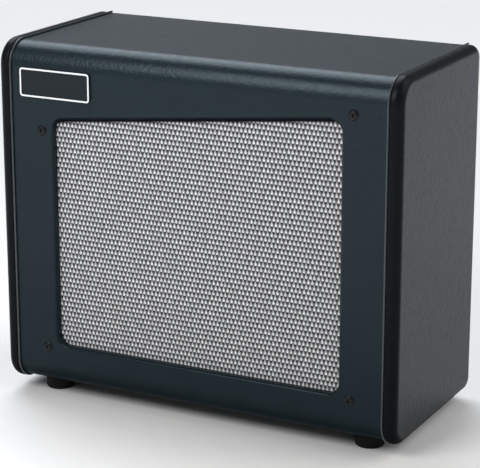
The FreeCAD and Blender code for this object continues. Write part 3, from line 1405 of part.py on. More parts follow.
def lead_route(sign):
    """Points of one lead: from its connector down to the floor board, back, and up to the socket."""
    half_pitch = sign * number("lead_pitch") / 2
    floor = number("inside_floor + lead_dia / 2")
    baffle_y, axis_z = number("baffle_back"), number("speaker_level")
    out = number("terminal_board + tag_thick / 2")
    along = number("-terminal_length / 2 - tag_reach - sleeve_length * (1 - sleeve_grip)")
    start_depth, start_height = spoke_point(along, out)
    drop_depth, drop_height = spoke_point(along - number("lead_drop"), out)
    tag = sign * number("tag_spread") / 2
    hang = sign * number("lead_hang_spread") / 2
    landing = sign * number("lead_landing_spread") / 2
    tail = number("jack_inside - contact_tail")
    lap = "contact_thick / 2 + lead_dia / 2 + contact_play"
    tail_level = number(f"jack_level + {sign} * contact_level + {lap}")
    run_start = number("baffle_back + lead_run_start")
    return [
        Vector(tag, baffle_y + start_depth, axis_z + start_height),
        Vector(tag, baffle_y + drop_depth, axis_z + drop_height),
        Vector(hang, baffle_y + drop_depth + number("lead_hang_back"), floor + number("lead_hang")),
        Vector(landing, number("baffle_back + lead_landing"), floor),
        Vector(half_pitch, run_start, floor),
        Vector(half_pitch, run_start + number("lead_run"), floor),
        Vector(half_pitch, tail - number("lead_lift_back"), floor + number("lead_lift")),
        Vector(half_pitch / 2, tail - number("lead_climb_back"), tail_level - number("lead_climb")),
        Vector(0, tail - number("lead_end"), tail_level),
        Vector(0, tail + number("lead_lap"), tail_level),
    ]


def leads():
    """Two insulated leads between the socket and the speaker's terminals."""
    for label, sign in (("speaker_lead_positive", 1), ("speaker_lead_negative", -1)):
        shaped(label, tube_along(lead_route(sign), number("lead_dia")))


def lead_clips():
    """Two clips that hold the leads to the floor board, each with a screw."""
    slot, inner = CLIP_SLOT, CLIP_INNER
    outer, corner = f"{inner} + clip_width", "clip_height / 4"
    clip = body("lead_clip")
    profile = sketch(clip, "XZ_Plane")
    add_outline(profile, [
        (inner, "0"), (f"-({slot})", "0"), (f"-({slot})", "clip_slot_height"), (slot, "clip_slot_height"),
        (slot, "0"), (outer, "0"), (outer, "clip_height", corner), (inner, "clip_height", corner),
    ])
    pad(clip, profile, "clip_depth", symmetric=True)
    hole = sketch(clip, "XY_Plane")
    add_circles(hole, [(CLIP_SCREW_X, "0", "(clip_screw + fit_play) / 2")])
    pocket(clip, hole, backwards=True)
    screw = pan_screw(
        "lead_clip_screw", "clip_screw", "clip_screw_length", "clip_screw_head", "clip_screw_crown")
    places = [clip_y(sign) for sign in SIDES]
    copies("lead_clips", clip, [("0", y, "inside_floor") for y in places])
    copies(
        "lead_clip_screws", screw,
        [(CLIP_SCREW_X, y, "inside_floor + clip_height") for y in places], POINTING_DOWN)


def clip_y(sign):
    """Place of a lead clip along the floor board's straight run of the leads."""
    return f"baffle_back + lead_run_start + lead_run / 2 + {sign} * clip_spread / 2"


def check_document():
    """Stop if any object failed or any sub-part has no valid shape."""
    doc.recompute()
    for item in doc.Objects:
        if "Invalid" in item.State or "Error" in item.State:
            raise RuntimeError(f"{item.Label} failed: {item.State}")
    for item in nodes:
        if item.Shape.isNull() or not item.Shape.isValid():
            raise RuntimeError(f"{item.Label} has no valid shape")


def write_nodes():
    """Write each sub-part to its own file."""
    os.makedirs("parts", exist_ok=True)
    for item in nodes:
        item.Shape.exportStep(f"parts/{item.Label}.step")
        print(item.Label, len(item.Shape.Solids), round(item.Shape.Volume))


def main():
    """Build the cabinet from the outside in, then write its pieces."""
    for side, sign in zip(("left", "right"), SIDES):
        side_panel(side, sign)
    shell_covering(shell_boards())
    for side, sign in zip(("left", "right"), SIDES):
        piping(side, sign)
    corner_battens()
    nut = tee_nut()
    baffle()
    baffle_fasteners(nut)
    badge()
    feet()
    back()
    basket()
    speaker_motor()
    moving_assembly()
    suspension()
    speaker_fasteners(nut)
    terminals()
    tinsel_leads()
    jack_plate()
    jack_socket()
    jack_hardware()
    jack_contacts()
    leads()
    lead_clips()
    check_document()
    write_nodes()
    print(len(nodes), "nodes")


main()
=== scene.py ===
"""Guitar speaker cabinet: finishes, soft pieces, wiring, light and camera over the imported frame."""

import logging
import math
from abc import ABC, abstractmethod
from dataclasses import dataclass
from enum import Enum
from functools import cache, partialmethod
from typing import Sequence, Union

import bpy
import numpy as np
from mathutils import Euler, Matrix, Vector


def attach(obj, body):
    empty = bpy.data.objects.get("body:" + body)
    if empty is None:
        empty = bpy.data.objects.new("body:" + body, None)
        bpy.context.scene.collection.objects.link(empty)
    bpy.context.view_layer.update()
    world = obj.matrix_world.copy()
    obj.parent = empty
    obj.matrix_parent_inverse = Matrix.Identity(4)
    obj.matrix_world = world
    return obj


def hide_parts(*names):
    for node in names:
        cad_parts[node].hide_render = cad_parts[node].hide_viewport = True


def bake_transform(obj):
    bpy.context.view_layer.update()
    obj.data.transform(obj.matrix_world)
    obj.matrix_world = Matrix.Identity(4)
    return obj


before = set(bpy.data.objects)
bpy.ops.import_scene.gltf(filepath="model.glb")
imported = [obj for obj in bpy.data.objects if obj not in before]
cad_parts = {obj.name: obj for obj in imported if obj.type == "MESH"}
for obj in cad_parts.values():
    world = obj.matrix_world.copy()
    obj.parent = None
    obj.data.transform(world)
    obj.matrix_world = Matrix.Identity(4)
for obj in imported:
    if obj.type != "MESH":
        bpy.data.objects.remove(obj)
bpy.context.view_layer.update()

LOG = logging.getLogger("speaker_cabinet")

Array = np.ndarray
Point = tuple[float, float, float]
Shade = tuple[float, float, float]
Span = tuple[float, float]
Socket = bpy.types.NodeSocket
Value = Union[float, Socket]

CABINET = "cabinet"
SPEAKER_LEVEL = 0.223
FULL_TURN = 2.0 * math.pi

# Ranges of noise or grain that a ramp runs over
MIDDLE = (0.3, 0.7)
WIDE = (0.2, 0.8)
NEARLY_ALL = (0.1, 0.9)

# Bare wood's roughness from its light to its dark grain, and its specular level
WOOD_ROUGHNESS = (0.72, 0.55)
WOOD_SPECULAR = 0.3


class Axis(Enum):
    """A direction of the frame, as the place of its number in a point."""

    ACROSS = 0
    DEPTH = 1
    UP = 2


class Facing(Enum):
    """Which way a board's broad faces look."""

    SIDEWAYS = (Axis.ACROSS, Axis.UP)
    FORWARDS = (Axis.DEPTH, Axis.ACROSS)
    UPWARDS = (Axis.UP, Axis.ACROSS)

    @property
    def thickness(self) -> Axis:
        """The axis across the plies."""
        return self.value[0]

    @property
    def grain(self) -> Axis:
        """The axis that the wood's grain follows."""
        return self.value[1]


class ShaderTree:
    """Nodes of one material or of the world, from coordinates to the surface."""

    def __init__(self, owner: bpy.types.Material | bpy.types.World) -> None:
        """Start with the plain surface shader that the owner brings.

        Args:
            owner: the new material or world.
        """
        owner.use_nodes = True
        self.tree = owner.node_tree
        self.surface = self.tree.get_output_node("ALL").inputs["Surface"].links[0].from_node

    def add(self, kind: str, inputs: dict | None = None, **settings: object) -> bpy.types.Node:
        """Add a node.

        Args:
            kind: the node's type.
            inputs: what to feed its inputs, by name or number.
            settings: properties to set on it.

        Returns:
            The node.
        """
        node = self.tree.nodes.new(kind)
        for key, value in settings.items():
            setattr(node, key, value)
        for key, value in (inputs or {}).items():
            self.feed(node.inputs[key], value)
        return node

    def feed(self, socket: Socket, value: object) -> None:
        """Join a socket to another one, or set its constant.

        Args:
            socket: the input.
            value: an output socket, or a number, colour or vector.
        """
        if isinstance(value, bpy.types.NodeSocket):
            self.tree.links.new(value, socket)
        else:
            socket.default_value = value

    def give(self, name: str, value: object) -> None:
        """Feed an input of the surface shader.

        Args:
            name: the input's name.
            value: an output socket, or a number, colour or vector.
        """
        self.feed(self.surface.inputs[name], value)

    def own_place(self) -> Socket:
        """The point's place in the object's own coordinates, in metres."""
        return self.add("ShaderNodeTexCoord").outputs["Object"]

    def along(self, axis: Axis) -> Socket:
        """The point's own coordinate on one axis, in metres."""
        return self.parts(self.own_place())[axis.value]

    def facing(self, axis: Axis) -> Socket:
        """How far the surface looks along one axis, from -1 to 1."""
        return self.parts(self.add("ShaderNodeTexCoord").outputs["Normal"])[axis.value]

    def mapped(self, stretch: Point) -> Socket:
        """Own coordinates with a factor on each axis."""
        return self.add("ShaderNodeMapping", {"Vector": self.own_place(), "Scale": stretch}).outputs[0]

    def drawn_out(self, axis: Axis, share: float) -> Socket:
        """Own coordinates for a grain that is drawn out along one axis.

        Args:
            axis: the axis of the grain.
            share: factor on that axis; a small one makes a long grain.

        Returns:
            The mapped vector.
        """
        return self.mapped(tuple(share if each is axis else 1.0 for each in Axis))

    def parts(self, vector: Socket) -> list[Socket]:
        """The three numbers of a vector."""
        return list(self.add("ShaderNodeSeparateXYZ", {0: vector}).outputs)

    def joined(self, across: Value, depth: Value, up: Value) -> Socket:
        """One vector from three numbers."""
        return self.add("ShaderNodeCombineXYZ", {"X": across, "Y": depth, "Z": up}).outputs[0]

    def math(self, operation: str, *numbers: Value) -> Socket:
        """One step of arithmetic.

        Args:
            operation: name of the operation.
            numbers: the one, two or three numbers that it works on.

        Returns:
            The result.
        """
        return self.add("ShaderNodeMath", dict(enumerate(numbers)), operation=operation).outputs[0]

    # The commonest steps by their own names
    plus = partialmethod(math, "ADD")
    minus = partialmethod(math, "SUBTRACT")
    times = partialmethod(math, "MULTIPLY")

    def weighed(self, first: Value, second: Value, share: float) -> Socket:
        """The first number by its share, plus the second by the rest."""
        rest = self.times(second, 1.0 - share)
        return self.plus(self.times(first, share), rest)

    def length(self, first: Value, second: Value) -> Socket:
        """The root of the sum of two squares."""
        return self.math("SQRT", self.plus(self.times(first, first), self.times(second, second)))

    def ramp(self, value: Value, start: float, end: float, low: float = 0.0, high: float = 1.0) -> Socket:
        """A smooth step: low before start, high after end, an S-curve between.

        Args:
            value: the number that runs from start to end.
            start: where the step begins.
            end: where it ends.
            low: result at the start.
            high: result at the end.

        Returns:
            The stepped number.
        """
        step = {"Value": value, "From Min": start, "From Max": end, "To Min": low, "To Max": high}
        node = self.add("ShaderNodeMapRange", step, interpolation_type="SMOOTHSTEP")
        return node.outputs["Result"]

    def mix(self, share: Value, first: object, second: object) -> Socket:
        """A colour between two colours.

        Args:
            share: 0 for the first, 1 for the second.
            first: colour as three numbers, or a socket.
            second: colour as three numbers, or a socket.

        Returns:
            The mixed colour.
        """
        node = self.add("ShaderNodeMix", {0: share}, data_type="RGBA")
        for socket, colour in zip(node.inputs[6:8], (first, second)):
            self.feed(socket, colour if isinstance(colour, bpy.types.NodeSocket) else (*colour, 1.0))
        return node.outputs[2]

    def noise(self, vector: Socket, per_metre: float, detail: float = 4.0, rough: float = 0.55) -> Socket:
        """Cloudy noise from 0 to 1.

        Args:
            vector: where it is read.
            per_metre: number of patches to the metre.
            detail: number of finer octaves.
            rough: strength of the finer octaves.

        Returns:
            The noise.
        """
        patches = {"Vector": vector, "Scale": per_metre, "Detail": detail, "Roughness": rough}
        return self.add("ShaderNodeTexNoise", patches).outputs["Fac"]

    def cells(self, vector: Socket, per_metre: float) -> Socket:
        """Distance to the middle of irregular cells.

        Args:
            vector: where it is read.
            per_metre: number of cells to the metre.

        Returns:
            The distance, in cells.
        """
        cut = {"Vector": vector, "Scale": per_metre}
        return self.add("ShaderNodeTexVoronoi", cut, feature="SMOOTH_F1").outputs["Distance"]

    def bump(self, height: Socket, rise: float, strength: float = 1.0) -> None:
        """Let a height field tilt the surface, on top of any bump laid before.

        Args:
            height: height from 0 to 1.
            rise: what a height of 1 stands for, in metres.
            strength: share of the tilt that is used.
        """
        node = self.add("ShaderNodeBump", {"Height": height, "Distance": rise, "Strength": strength})
        before = self.surface.inputs["Normal"]
        if before.is_linked:
            self.feed(node.inputs["Normal"], before.links[0].from_socket)
        self.feed(before, node.outputs["Normal"])


@dataclass(frozen=True)
class Finish(ABC):
    """A surface finish that makes one material, shared by all that wear it."""

    name: str

    @abstractmethod
    def lay(self, tree: ShaderTree) -> None:
        """Put the finish's nodes into a tree."""


@cache
def material_of(finish: Finish) -> bpy.types.Material:
    """A finish's material, made when it is first asked for."""
    material = bpy.data.materials.new(finish.name)
    finish.lay(ShaderTree(material))
    return material


@dataclass(frozen=True)
class Speckled(Finish):
    """Paint, plastic, rubber or metal with cloudy colour, uneven gloss and a fine tooth."""

    dark: Shade = (0.02, 0.02, 0.02)
    light: Shade = (0.03, 0.03, 0.03)
    gloss: Span = (0.4, 0.55)
    metal: float = 0.0
    patches: float = 90.0
    tooth: float = 1800.0
    tooth_rise: float = 0.00005
    stretch: Point = (1.0, 1.0, 1.0)
    specular: float = 0.5
    coat: float = 0.0
    patch_share: float = 0.65

    def lay(self, tree: ShaderTree) -> None:
        """Mix two shades by patches, vary the gloss with finer ones and raise a tooth."""
        place = tree.mapped(self.stretch)
        patches = tree.ramp(tree.noise(place, self.patches), *MIDDLE)
        fine = tree.noise(place, self.tooth, 2.0)
        shade = tree.weighed(patches, fine, self.patch_share)
        tree.give("Base Color", tree.mix(shade, self.dark, self.light))
        tree.give("Roughness", tree.ramp(shade, *NEARLY_ALL, *self.gloss))
        tree.give("Metallic", self.metal)
        tree.give("Specular IOR Level", self.specular)
        tree.give("Coat Weight", self.coat)
        tree.bump(fine, self.tooth_rise)


@dataclass(frozen=True)
class Vinyl(Finish):
    """Satin vinyl cloth with a pebbled grain pressed into it."""

    dark: Shade = (0.0036, 0.0088, 0.0124)
    light: Shade = (0.006, 0.0138, 0.0188)
    pebbles: float = 620.0
    pebble_rise: float = 0.00009
    hides: float = 270.0
    hide_rise: float = 0.0002
    specular: float = 0.33
    tint: Shade = (0.74, 0.92, 1.0)
    # Painted shade: less sheen low down over these heights, and on the underside
    painted_shade_span: Span = (0.03, 0.42)
    painted_shade_sheen: float = 0.6
    under_sheen: float = 0.1
    under_turn: Span = (-0.6, -0.05)
    edge_sheen: float = 1.0
    edge_turn: Span = (0.955, 0.998)
    creases: float = 1500.0
    clouds: float = 24.0
    scuffs: float = 110.0
    pebble_share: float = 0.75
    cloud_share: float = 0.4
    satin: Span = (0.3, 0.38)

    def sheen(self, tree: ShaderTree) -> Socket:
        """The sheen, with painted shade: less towards the floor, by an S-curve of the height, and least on
        the underside.

        Rounded edges, where the normal leaves the sideways axis, can have less as well, which is painted
        shade too.

        Args:
            tree: the material's nodes.

        Returns:
            The specular level.
        """
        # Painted shade: the sheen falls towards the floor and on faces turned down
        height_shade = tree.ramp(tree.along(Axis.UP), *self.painted_shade_span, self.painted_shade_sheen, 1.0)
        below = tree.ramp(tree.facing(Axis.UP), *self.under_turn, self.under_sheen, 1.0)
        level = tree.times(tree.times(height_shade, below), self.specular)
        # Painted shade on rounded edges: less sheen where the normal turns from sideways
        if self.edge_sheen < 1.0:
            sideways = tree.math("ABSOLUTE", tree.facing(Axis.ACROSS))
            flat = tree.ramp(sideways, *self.edge_turn, self.edge_sheen, 1.0)
            level = tree.times(level, flat)
        return level

    def lay(self, tree: ShaderTree) -> None:
        """Pebbles from cell distances, with creases of fine noise; valleys darker and less glossy."""
        place = tree.own_place()
        pebble = tree.ramp(tree.cells(place, self.pebbles), 0.05, 0.75, 1.0, 0.0)
        creases = tree.ramp(tree.noise(place, self.creases, 3.0), *MIDDLE)
        grain = tree.weighed(pebble, creases, self.pebble_share)
        clouds = tree.ramp(tree.noise(place, self.clouds, 5.0), *MIDDLE)
        shade = tree.weighed(clouds, grain, self.cloud_share)
        tree.give("Base Color", tree.mix(shade, self.dark, self.light))
        scuffs = tree.ramp(tree.noise(place, self.scuffs, 6.0), 0.35, 0.75)
        gloss = tree.minus(scuffs, grain)
        tree.give("Roughness", tree.ramp(gloss, -1.0, 1.0, *self.satin))
        tree.give("Specular IOR Level", self.sheen(tree))
        tree.give("Specular Tint", (*self.tint, 1.0))
        hide = tree.ramp(tree.cells(place, self.hides), 0.0, 0.8, 1.0, 0.0)
        tree.bump(hide, self.hide_rise, 0.6)
        tree.bump(grain, self.pebble_rise, 0.7)


@dataclass(frozen=True)
class Plywood(Finish):
    """Birch plywood: long grain on the faces, alternate light and dark plies on the edges."""

    facing: Facing = Facing.FORWARDS
    pale: Shade = (0.56, 0.41, 0.25)
    brown: Shade = (0.37, 0.235, 0.125)
    ply: float = 0.0014
    hem: Span = (0.1004, 0.1006)
    painted: bool = False
    figure: float = 55.0
    pores: float = 900.0
    drawn_out: float = 0.06
    figure_share: float = 0.7
    dark_ply: float = 0.55
    black: tuple[Shade, Shade] = ((0.011, 0.011, 0.012), (0.024, 0.024, 0.025))
    rise: float = 0.00018

    def lay(self, tree: ShaderTree) -> None:
        """Grain is noise drawn out along one axis; plies are a square wave across the thickness.

        Behind the hem's depth the covering's turned-in edge hides the wood.
        """
        place = tree.drawn_out(self.facing.grain, self.drawn_out)
        figure = tree.noise(place, self.figure, 6.0, 0.6)
        pores = tree.noise(place, self.pores, 3.0)
        grain = tree.weighed(figure, pores, self.figure_share)
        face = tree.mix(tree.ramp(grain, *MIDDLE), self.brown, self.pale)
        layer = tree.math("PINGPONG", tree.along(self.facing.thickness), self.ply)
        layer = tree.ramp(layer, self.ply * 0.4, self.ply * 0.6)
        edge = tree.mix(layer, tuple(self.dark_ply * part for part in self.brown), self.pale)
        looks = tree.math("ABSOLUTE", tree.facing(self.facing.thickness))
        wood = tree.mix(tree.ramp(looks, 0.6, 0.8), edge, face)
        if self.painted:
            wood = tree.mix(tree.ramp(pores, 0.25, 0.75), *self.black)
        else:
            cloth = tree.mix(pores, VINYL.dark, VINYL.light)
            wood = tree.mix(tree.ramp(tree.along(Axis.DEPTH), *self.hem), wood, cloth)
        tree.give("Base Color", wood)
        tree.give("Roughness", tree.ramp(grain, *WIDE, *WOOD_ROUGHNESS))
        tree.give("Specular IOR Level", WOOD_SPECULAR)
        tree.bump(grain, self.rise)


@dataclass(frozen=True)
class Timber(Finish):
    """Planed softwood: growth rings cut along their length, with darker late wood and long pores."""

    run: Axis = Axis.ACROSS
    pale: Shade = (0.6, 0.43, 0.25)
    late: Shade = (0.4, 0.235, 0.105)
    ring: float = 0.0042
    pith: Point = (0.31, 0.27, 0.19)
    bends: float = 40.0
    bend: float = 3.0
    pores: float = 1500.0
    drawn_out: float = 0.05
    late_share: float = 0.6
    rise: float = 0.00012

    def lay(self, tree: ShaderTree) -> None:
        """Rings are a saw-tooth of the distance from a pith line beside the piece, bent by long noise."""
        place = tree.drawn_out(self.run, self.drawn_out)
        sides = [axis for axis in Axis if axis is not self.run]
        offsets = [tree.minus(tree.along(side), self.pith[side.value]) for side in sides]
        bend = tree.times(tree.noise(place, self.bends, 3.0), self.bend)
        rings = tree.math("DIVIDE", tree.length(*offsets), self.ring)
        late = tree.ramp(tree.math("FRACT", tree.plus(rings, bend)), 0.35, 1.0)
        grain = tree.weighed(late, tree.noise(place, self.pores, 3.0), self.late_share)
        tree.give("Base Color", tree.mix(tree.ramp(grain, *NEARLY_ALL), self.pale, self.late))
        tree.give("Roughness", tree.ramp(grain, *WIDE, *WOOD_ROUGHNESS))
        tree.give("Specular IOR Level", WOOD_SPECULAR)
        tree.bump(grain, self.rise)


@dataclass(frozen=True)
class WovenDrops(Finish):
    """Grille cloth: staggered rows of pale drops that widen downwards over a dark ground."""

    pitch: float = 0.00507
    row: float = 0.00609
    bright: Shade = (0.9, 0.9, 0.91)
    dull: Shade = (0.34, 0.34, 0.35)
    ground: Shade = (0.155, 0.155, 0.16)
    notch: Shade = (0.012, 0.012, 0.014)
    relief: float = 0.0007
    lip_level: float = 0.3635
    lip_slope: float = 0.106
    # Painted shadow under the opening's upper lip, over this distance below its line
    lip_shadow: Span = (0.0034, 0.0064)
    sway: float = 0.12
    widest: float = 0.33
    narrowing: float = 0.22
    fibres: float = 3200.0
    fibre_rise: float = 0.00006
    specular: float = 0.35
    sheen: float = 0.12
    roughness: Span = (0.5, 0.72)
    drop_edge: Span = (-0.1, 0.09)
    drop_foot: Span = (-0.08, 0.14)
    drop_fade: Span = (0.1, 0.95)
    ground_fade: Span = (0.28, 0.78)

    def lay(self, tree: ShaderTree) -> None:
        """Each row is cut into cells of one pitch, every second row moved by half a pitch.

        In a cell a drop's half-width falls in a straight line from bottom to top. Inside it the
        yarn is pale, brightest at the bottom; outside it the ground darkens towards the top. Just
        under the opening's slanting upper lip a painted shadow makes the cloth dark and takes away its
        sheen.
        """
        across, _, up = tree.parts(tree.own_place())
        rows = tree.math("DIVIDE", up, self.row)
        row = tree.math("FLOOR", rows)
        high = tree.math("FRACT", rows)
        stagger = tree.times(tree.math("MODULO", row, 2.0), 0.5)
        places = tree.plus(tree.math("DIVIDE", across, self.pitch), stagger)
        column = tree.math("FLOOR", places)
        own = tree.add("ShaderNodeTexWhiteNoise", {"Vector": tree.joined(column, row, 0.0)})
        sway = tree.math("MULTIPLY_ADD", own.outputs["Value"], self.sway, -0.5 - self.sway / 2)
        off = tree.math("ABSOLUTE", tree.plus(tree.math("FRACT", places), sway))
        half = tree.math("MULTIPLY_ADD", high, -self.narrowing, self.widest)
        inside = tree.ramp(tree.minus(half, off), *self.drop_edge)
        above_foot = tree.minus(high, tree.times(off, 0.5))
        inside = tree.times(inside, tree.ramp(above_foot, *self.drop_foot, 0.25, 1.0))
        fibres = tree.noise(tree.drawn_out(Axis.UP, 0.15), self.fibres, 2.0)
        uneven = tree.math("MULTIPLY_ADD", own.outputs["Value"], 0.45, fibres)
        fade = tree.plus(high, tree.times(tree.minus(uneven, 0.72), 0.5))
        yarn = tree.mix(tree.ramp(fade, *self.drop_fade), self.bright, self.dull)
        ground = tree.mix(tree.ramp(high, *self.ground_fade), self.ground, self.notch)
        # Painted shadow: under the upper lip the cloth is dark and has no sheen
        lip = tree.math("MULTIPLY_ADD", across, self.lip_slope, self.lip_level)
        unshadowed_cloth = tree.ramp(tree.minus(lip, up), *self.lip_shadow)
        weave = tree.mix(inside, ground, yarn)
        tree.give("Base Color", tree.mix(unshadowed_cloth, self.notch, weave))
        tree.give("Roughness", tree.ramp(fibres, *WIDE, *self.roughness))
        tree.give("Specular IOR Level", tree.times(unshadowed_cloth, self.specular))
        tree.give("Sheen Weight", tree.times(unshadowed_cloth, self.sheen))
        crown = tree.minus(1.0, tree.math("POWER", tree.math("DIVIDE", off, half), 2.0))
        swell = tree.times(inside, tree.math("MAXIMUM", crown, 0.0))
        lift = tree.times(swell, tree.ramp(high, 0.0, 1.0, 1.0, 0.45))
        tree.bump(lift, self.relief, 0.8)
        tree.bump(fibres, self.fibre_rise)


@dataclass(frozen=True)
class Turned(Finish):
    """A round piece about the speaker's axis, with rings and outward fibres."""

    dark: Shade = (0.02, 0.02, 0.02)
    light: Shade = (0.05, 0.05, 0.05)
    level: float = SPEAKER_LEVEL
    ring: float = 0.006
    ring_rise: float = 0.0003
    fibres: float = 900.0
    gloss: Span = (0.6, 0.8)
    metal: float = 0.0
    sheen: float = 0.0
    clouds: float = 40.0
    fibre_share: float = 0.55
    fibre_rise: float = 0.00008

    def lay(self, tree: ShaderTree) -> None:
        """Rings are a sine of the distance from the axis; fibres are fine noise."""
        across, _, up = tree.parts(tree.own_place())
        radius = tree.length(across, tree.minus(up, self.level))
        wave = tree.math("SINE", tree.times(radius, FULL_TURN / self.ring))
        rings = tree.math("MULTIPLY_ADD", wave, 0.5, 0.5)
        fibre = tree.noise(tree.own_place(), self.fibres, 4.0, 0.65)
        clouds = tree.noise(tree.own_place(), self.clouds, 3.0)
        shade = tree.ramp(tree.weighed(fibre, clouds, self.fibre_share), *MIDDLE)
        tree.give("Base Color", tree.mix(shade, self.dark, self.light))
        tree.give("Roughness", tree.ramp(fibre, 0.25, 0.75, *self.gloss))
        tree.give("Metallic", self.metal)
        tree.give("Sheen Weight", self.sheen)
        tree.bump(rings, self.ring_rise)
        tree.bump(fibre, self.fibre_rise)


@dataclass(frozen=True)
class Threaded(Finish):
    """Woven or braided threads that follow the piece's own map: one thread to each whole number."""

    dark: Shade = (0.02, 0.02, 0.02)
    light: Shade = (0.06, 0.06, 0.06)
    gloss: Span = (0.55, 0.75)
    metal: float = 0.0
    rise: float = 0.0001
    fluff: float = 1400.0
    thread_share: float = 0.6

    def lay(self, tree: ShaderTree) -> None:
        """Two sets of sines cross on the map; the higher of the two shows, as over and under."""
        along, round_it, _ = tree.parts(tree.add("ShaderNodeTexCoord").outputs["UV"])
        waves = [tree.times(place, FULL_TURN) for place in (along, round_it)]
        warp, weft = (tree.math("SINE", wave) for wave in waves)
        over = tree.math("MULTIPLY_ADD", tree.math("MAXIMUM", warp, weft), 0.5, 0.5)
        fine = tree.noise(tree.own_place(), self.fluff, 3.0)
        shade = tree.weighed(over, fine, self.thread_share)
        tree.give("Base Color", tree.mix(shade, self.dark, self.light))
        tree.give("Roughness", tree.ramp(shade, *WIDE, *self.gloss))
        tree.give("Metallic", self.metal)
        tree.bump(over, self.rise)


VINYL = Vinyl("satin_vinyl")
# Side vinyl: painted shade on the rounded edges, with less sheen there
SIDE_VINYL = Vinyl(
    "side_vinyl", dark=(0.003, 0.0038, 0.0047), light=(0.0054, 0.0066, 0.008), specular=0.29,
    tint=(0.83, 0.93, 1.0), edge_sheen=0.35)
BACK_VINYL = Vinyl(
    "panel_vinyl", dark=(0.0052, 0.0088, 0.0112), light=(0.009, 0.0142, 0.0176), pebbles=760.0)
PIPING = Speckled(
    "piping_plastic", (0.026, 0.034, 0.039), (0.04, 0.05, 0.057), (0.16, 0.26), tooth_rise=0.00001)
BLACK_STEEL = Speckled(
    "black_steel", (0.003, 0.0036, 0.0043), (0.0085, 0.0098, 0.0112), (0.28, 0.46), tooth_rise=0.00002,
    specular=0.26)
ZINC = Speckled(
    "zinc_plate", (0.5, 0.5, 0.47), (0.66, 0.65, 0.61), (0.3, 0.46), metal=1.0, patches=260.0,
    tooth_rise=0.00002)
NICKEL = Speckled(
    "nickel_plate", (0.62, 0.6, 0.56), (0.74, 0.72, 0.68), (0.14, 0.26), metal=1.0, tooth_rise=0.000008)
TINNED = Speckled(
    "tinned_strip", (0.6, 0.57, 0.5), (0.76, 0.73, 0.66), (0.28, 0.42), metal=1.0, tooth_rise=0.00001)
RUBBER = Speckled(
    "moulded_rubber", (0.004, 0.0042, 0.0046), (0.0085, 0.0088, 0.0094), (0.62, 0.8), tooth=900.0,
    tooth_rise=0.00012, specular=0.16)
BASKET_PAINT = Speckled(
    "basket_enamel", (0.018, 0.018, 0.02), (0.03, 0.03, 0.033), (0.3, 0.42), tooth=700.0,
    tooth_rise=0.00006, coat=0.15)
PLATE_PAINT = Speckled(
    "powder_coat", (0.011, 0.011, 0.012), (0.02, 0.02, 0.022), (0.42, 0.58), tooth=1300.0,
    tooth_rise=0.0001)
MOULDED = Speckled("moulded_plastic", (0.012, 0.012, 0.013), (0.02, 0.02, 0.021), (0.4, 0.52))
FIBRE_BOARD = Speckled(
    "fibre_board", (0.12, 0.055, 0.025), (0.22, 0.11, 0.05), (0.5, 0.66), stretch=(0.1, 1.0, 1.0))
GASKET = Speckled(
    "pressed_gasket", (0.03, 0.027, 0.024), (0.055, 0.05, 0.044), (0.78, 0.9), tooth_rise=0.00012)
FERRITE = Speckled(
    "ferrite_ring", (0.045, 0.045, 0.048), (0.085, 0.085, 0.088), (0.55, 0.74), patches=200.0, tooth=2600.0,
    tooth_rise=0.00007)
BADGE_FIELD = Speckled(
    "badge_field", (0.004, 0.0085, 0.011), (0.008, 0.015, 0.019), (0.3, 0.42), stretch=(0.15, 1.0, 1.0),
    specular=0.24)
BADGE_LINE = Speckled(
    "badge_line", (0.82, 0.83, 0.84), (0.92, 0.92, 0.93), (0.3, 0.42), tooth_rise=0.00001)
BLACK_BOARD = Plywood("painted_board", painted=True)
GRILLE_WEAVE = WovenDrops("woven_drops")
CONE_PAPER = Turned(
    "pulp_paper", (0.028, 0.026, 0.024), (0.065, 0.06, 0.053), ring=0.0085, ring_rise=0.0005)
CAP_FELT = Turned(
    "pressed_felt", (0.014, 0.014, 0.014), (0.032, 0.031, 0.03), ring=0.012, ring_rise=0.0001, sheen=0.2)
FORMER_FOIL = Turned("coil_foil", (0.42, 0.3, 0.15), (0.58, 0.43, 0.24), ring=0.004, gloss=(0.35, 0.5))
COPPER_WIRE = Turned(
    "copper_wire", (0.42, 0.17, 0.08), (0.62, 0.28, 0.14), ring=0.0005, gloss=(0.25, 0.4), metal=1.0)
STEEL_PLATE = Turned(
    "turned_zinc", (0.5, 0.5, 0.47), (0.66, 0.65, 0.61), ring=0.0016, ring_rise=0.00003,
    gloss=(0.28, 0.42), metal=1.0)
SURROUND_CLOTH = Threaded("doped_cloth", (0.012, 0.011, 0.011), (0.034, 0.032, 0.03), (0.5, 0.7))
SPIDER_CLOTH = Threaded("resin_cloth", (0.33, 0.19, 0.06), (0.52, 0.33, 0.13), (0.55, 0.75))
TINSEL_BRAID = Threaded("tinsel_braid", (0.3, 0.14, 0.07), (0.66, 0.36, 0.2), (0.3, 0.45), metal=1.0)
RED_LEAD = Speckled("red_insulation", (0.3, 0.012, 0.012), (0.42, 0.02, 0.018), (0.36, 0.5))
BLACK_LEAD = Speckled("black_insulation", (0.012, 0.012, 0.013), (0.024, 0.024, 0.025), (0.36, 0.5))


def ply_board(facing: Facing) -> Plywood:
    """Bare plywood for a board that faces one way."""
    return Plywood(f"birch_ply_{facing.name.lower()}", facing)


def pine_strip(run: Axis) -> Timber:
    """Planed pine for a strip that runs one way."""
    return Timber(f"planed_pine_{run.name.lower()}", run)


def wear(obj: bpy.types.Object, finish: Finish) -> None:
    """Give an object one finish all over.

    Args:
        obj: a piece or a node of the frame.
        finish: the finish.
    """
    if not obj.data.materials:
        obj.data.materials.append(material_of(finish))
    for holder in obj.material_slots:
        holder.material = material_of(finish)
    LOG.info("%s wears %s", obj.name, finish.name)


def placed(name: str, data: bpy.types.ID) -> bpy.types.Object:
    """A new object in the scene that shows some data."""
    obj = bpy.data.objects.new(name, data)
    bpy.context.scene.collection.objects.link(obj)
    return obj


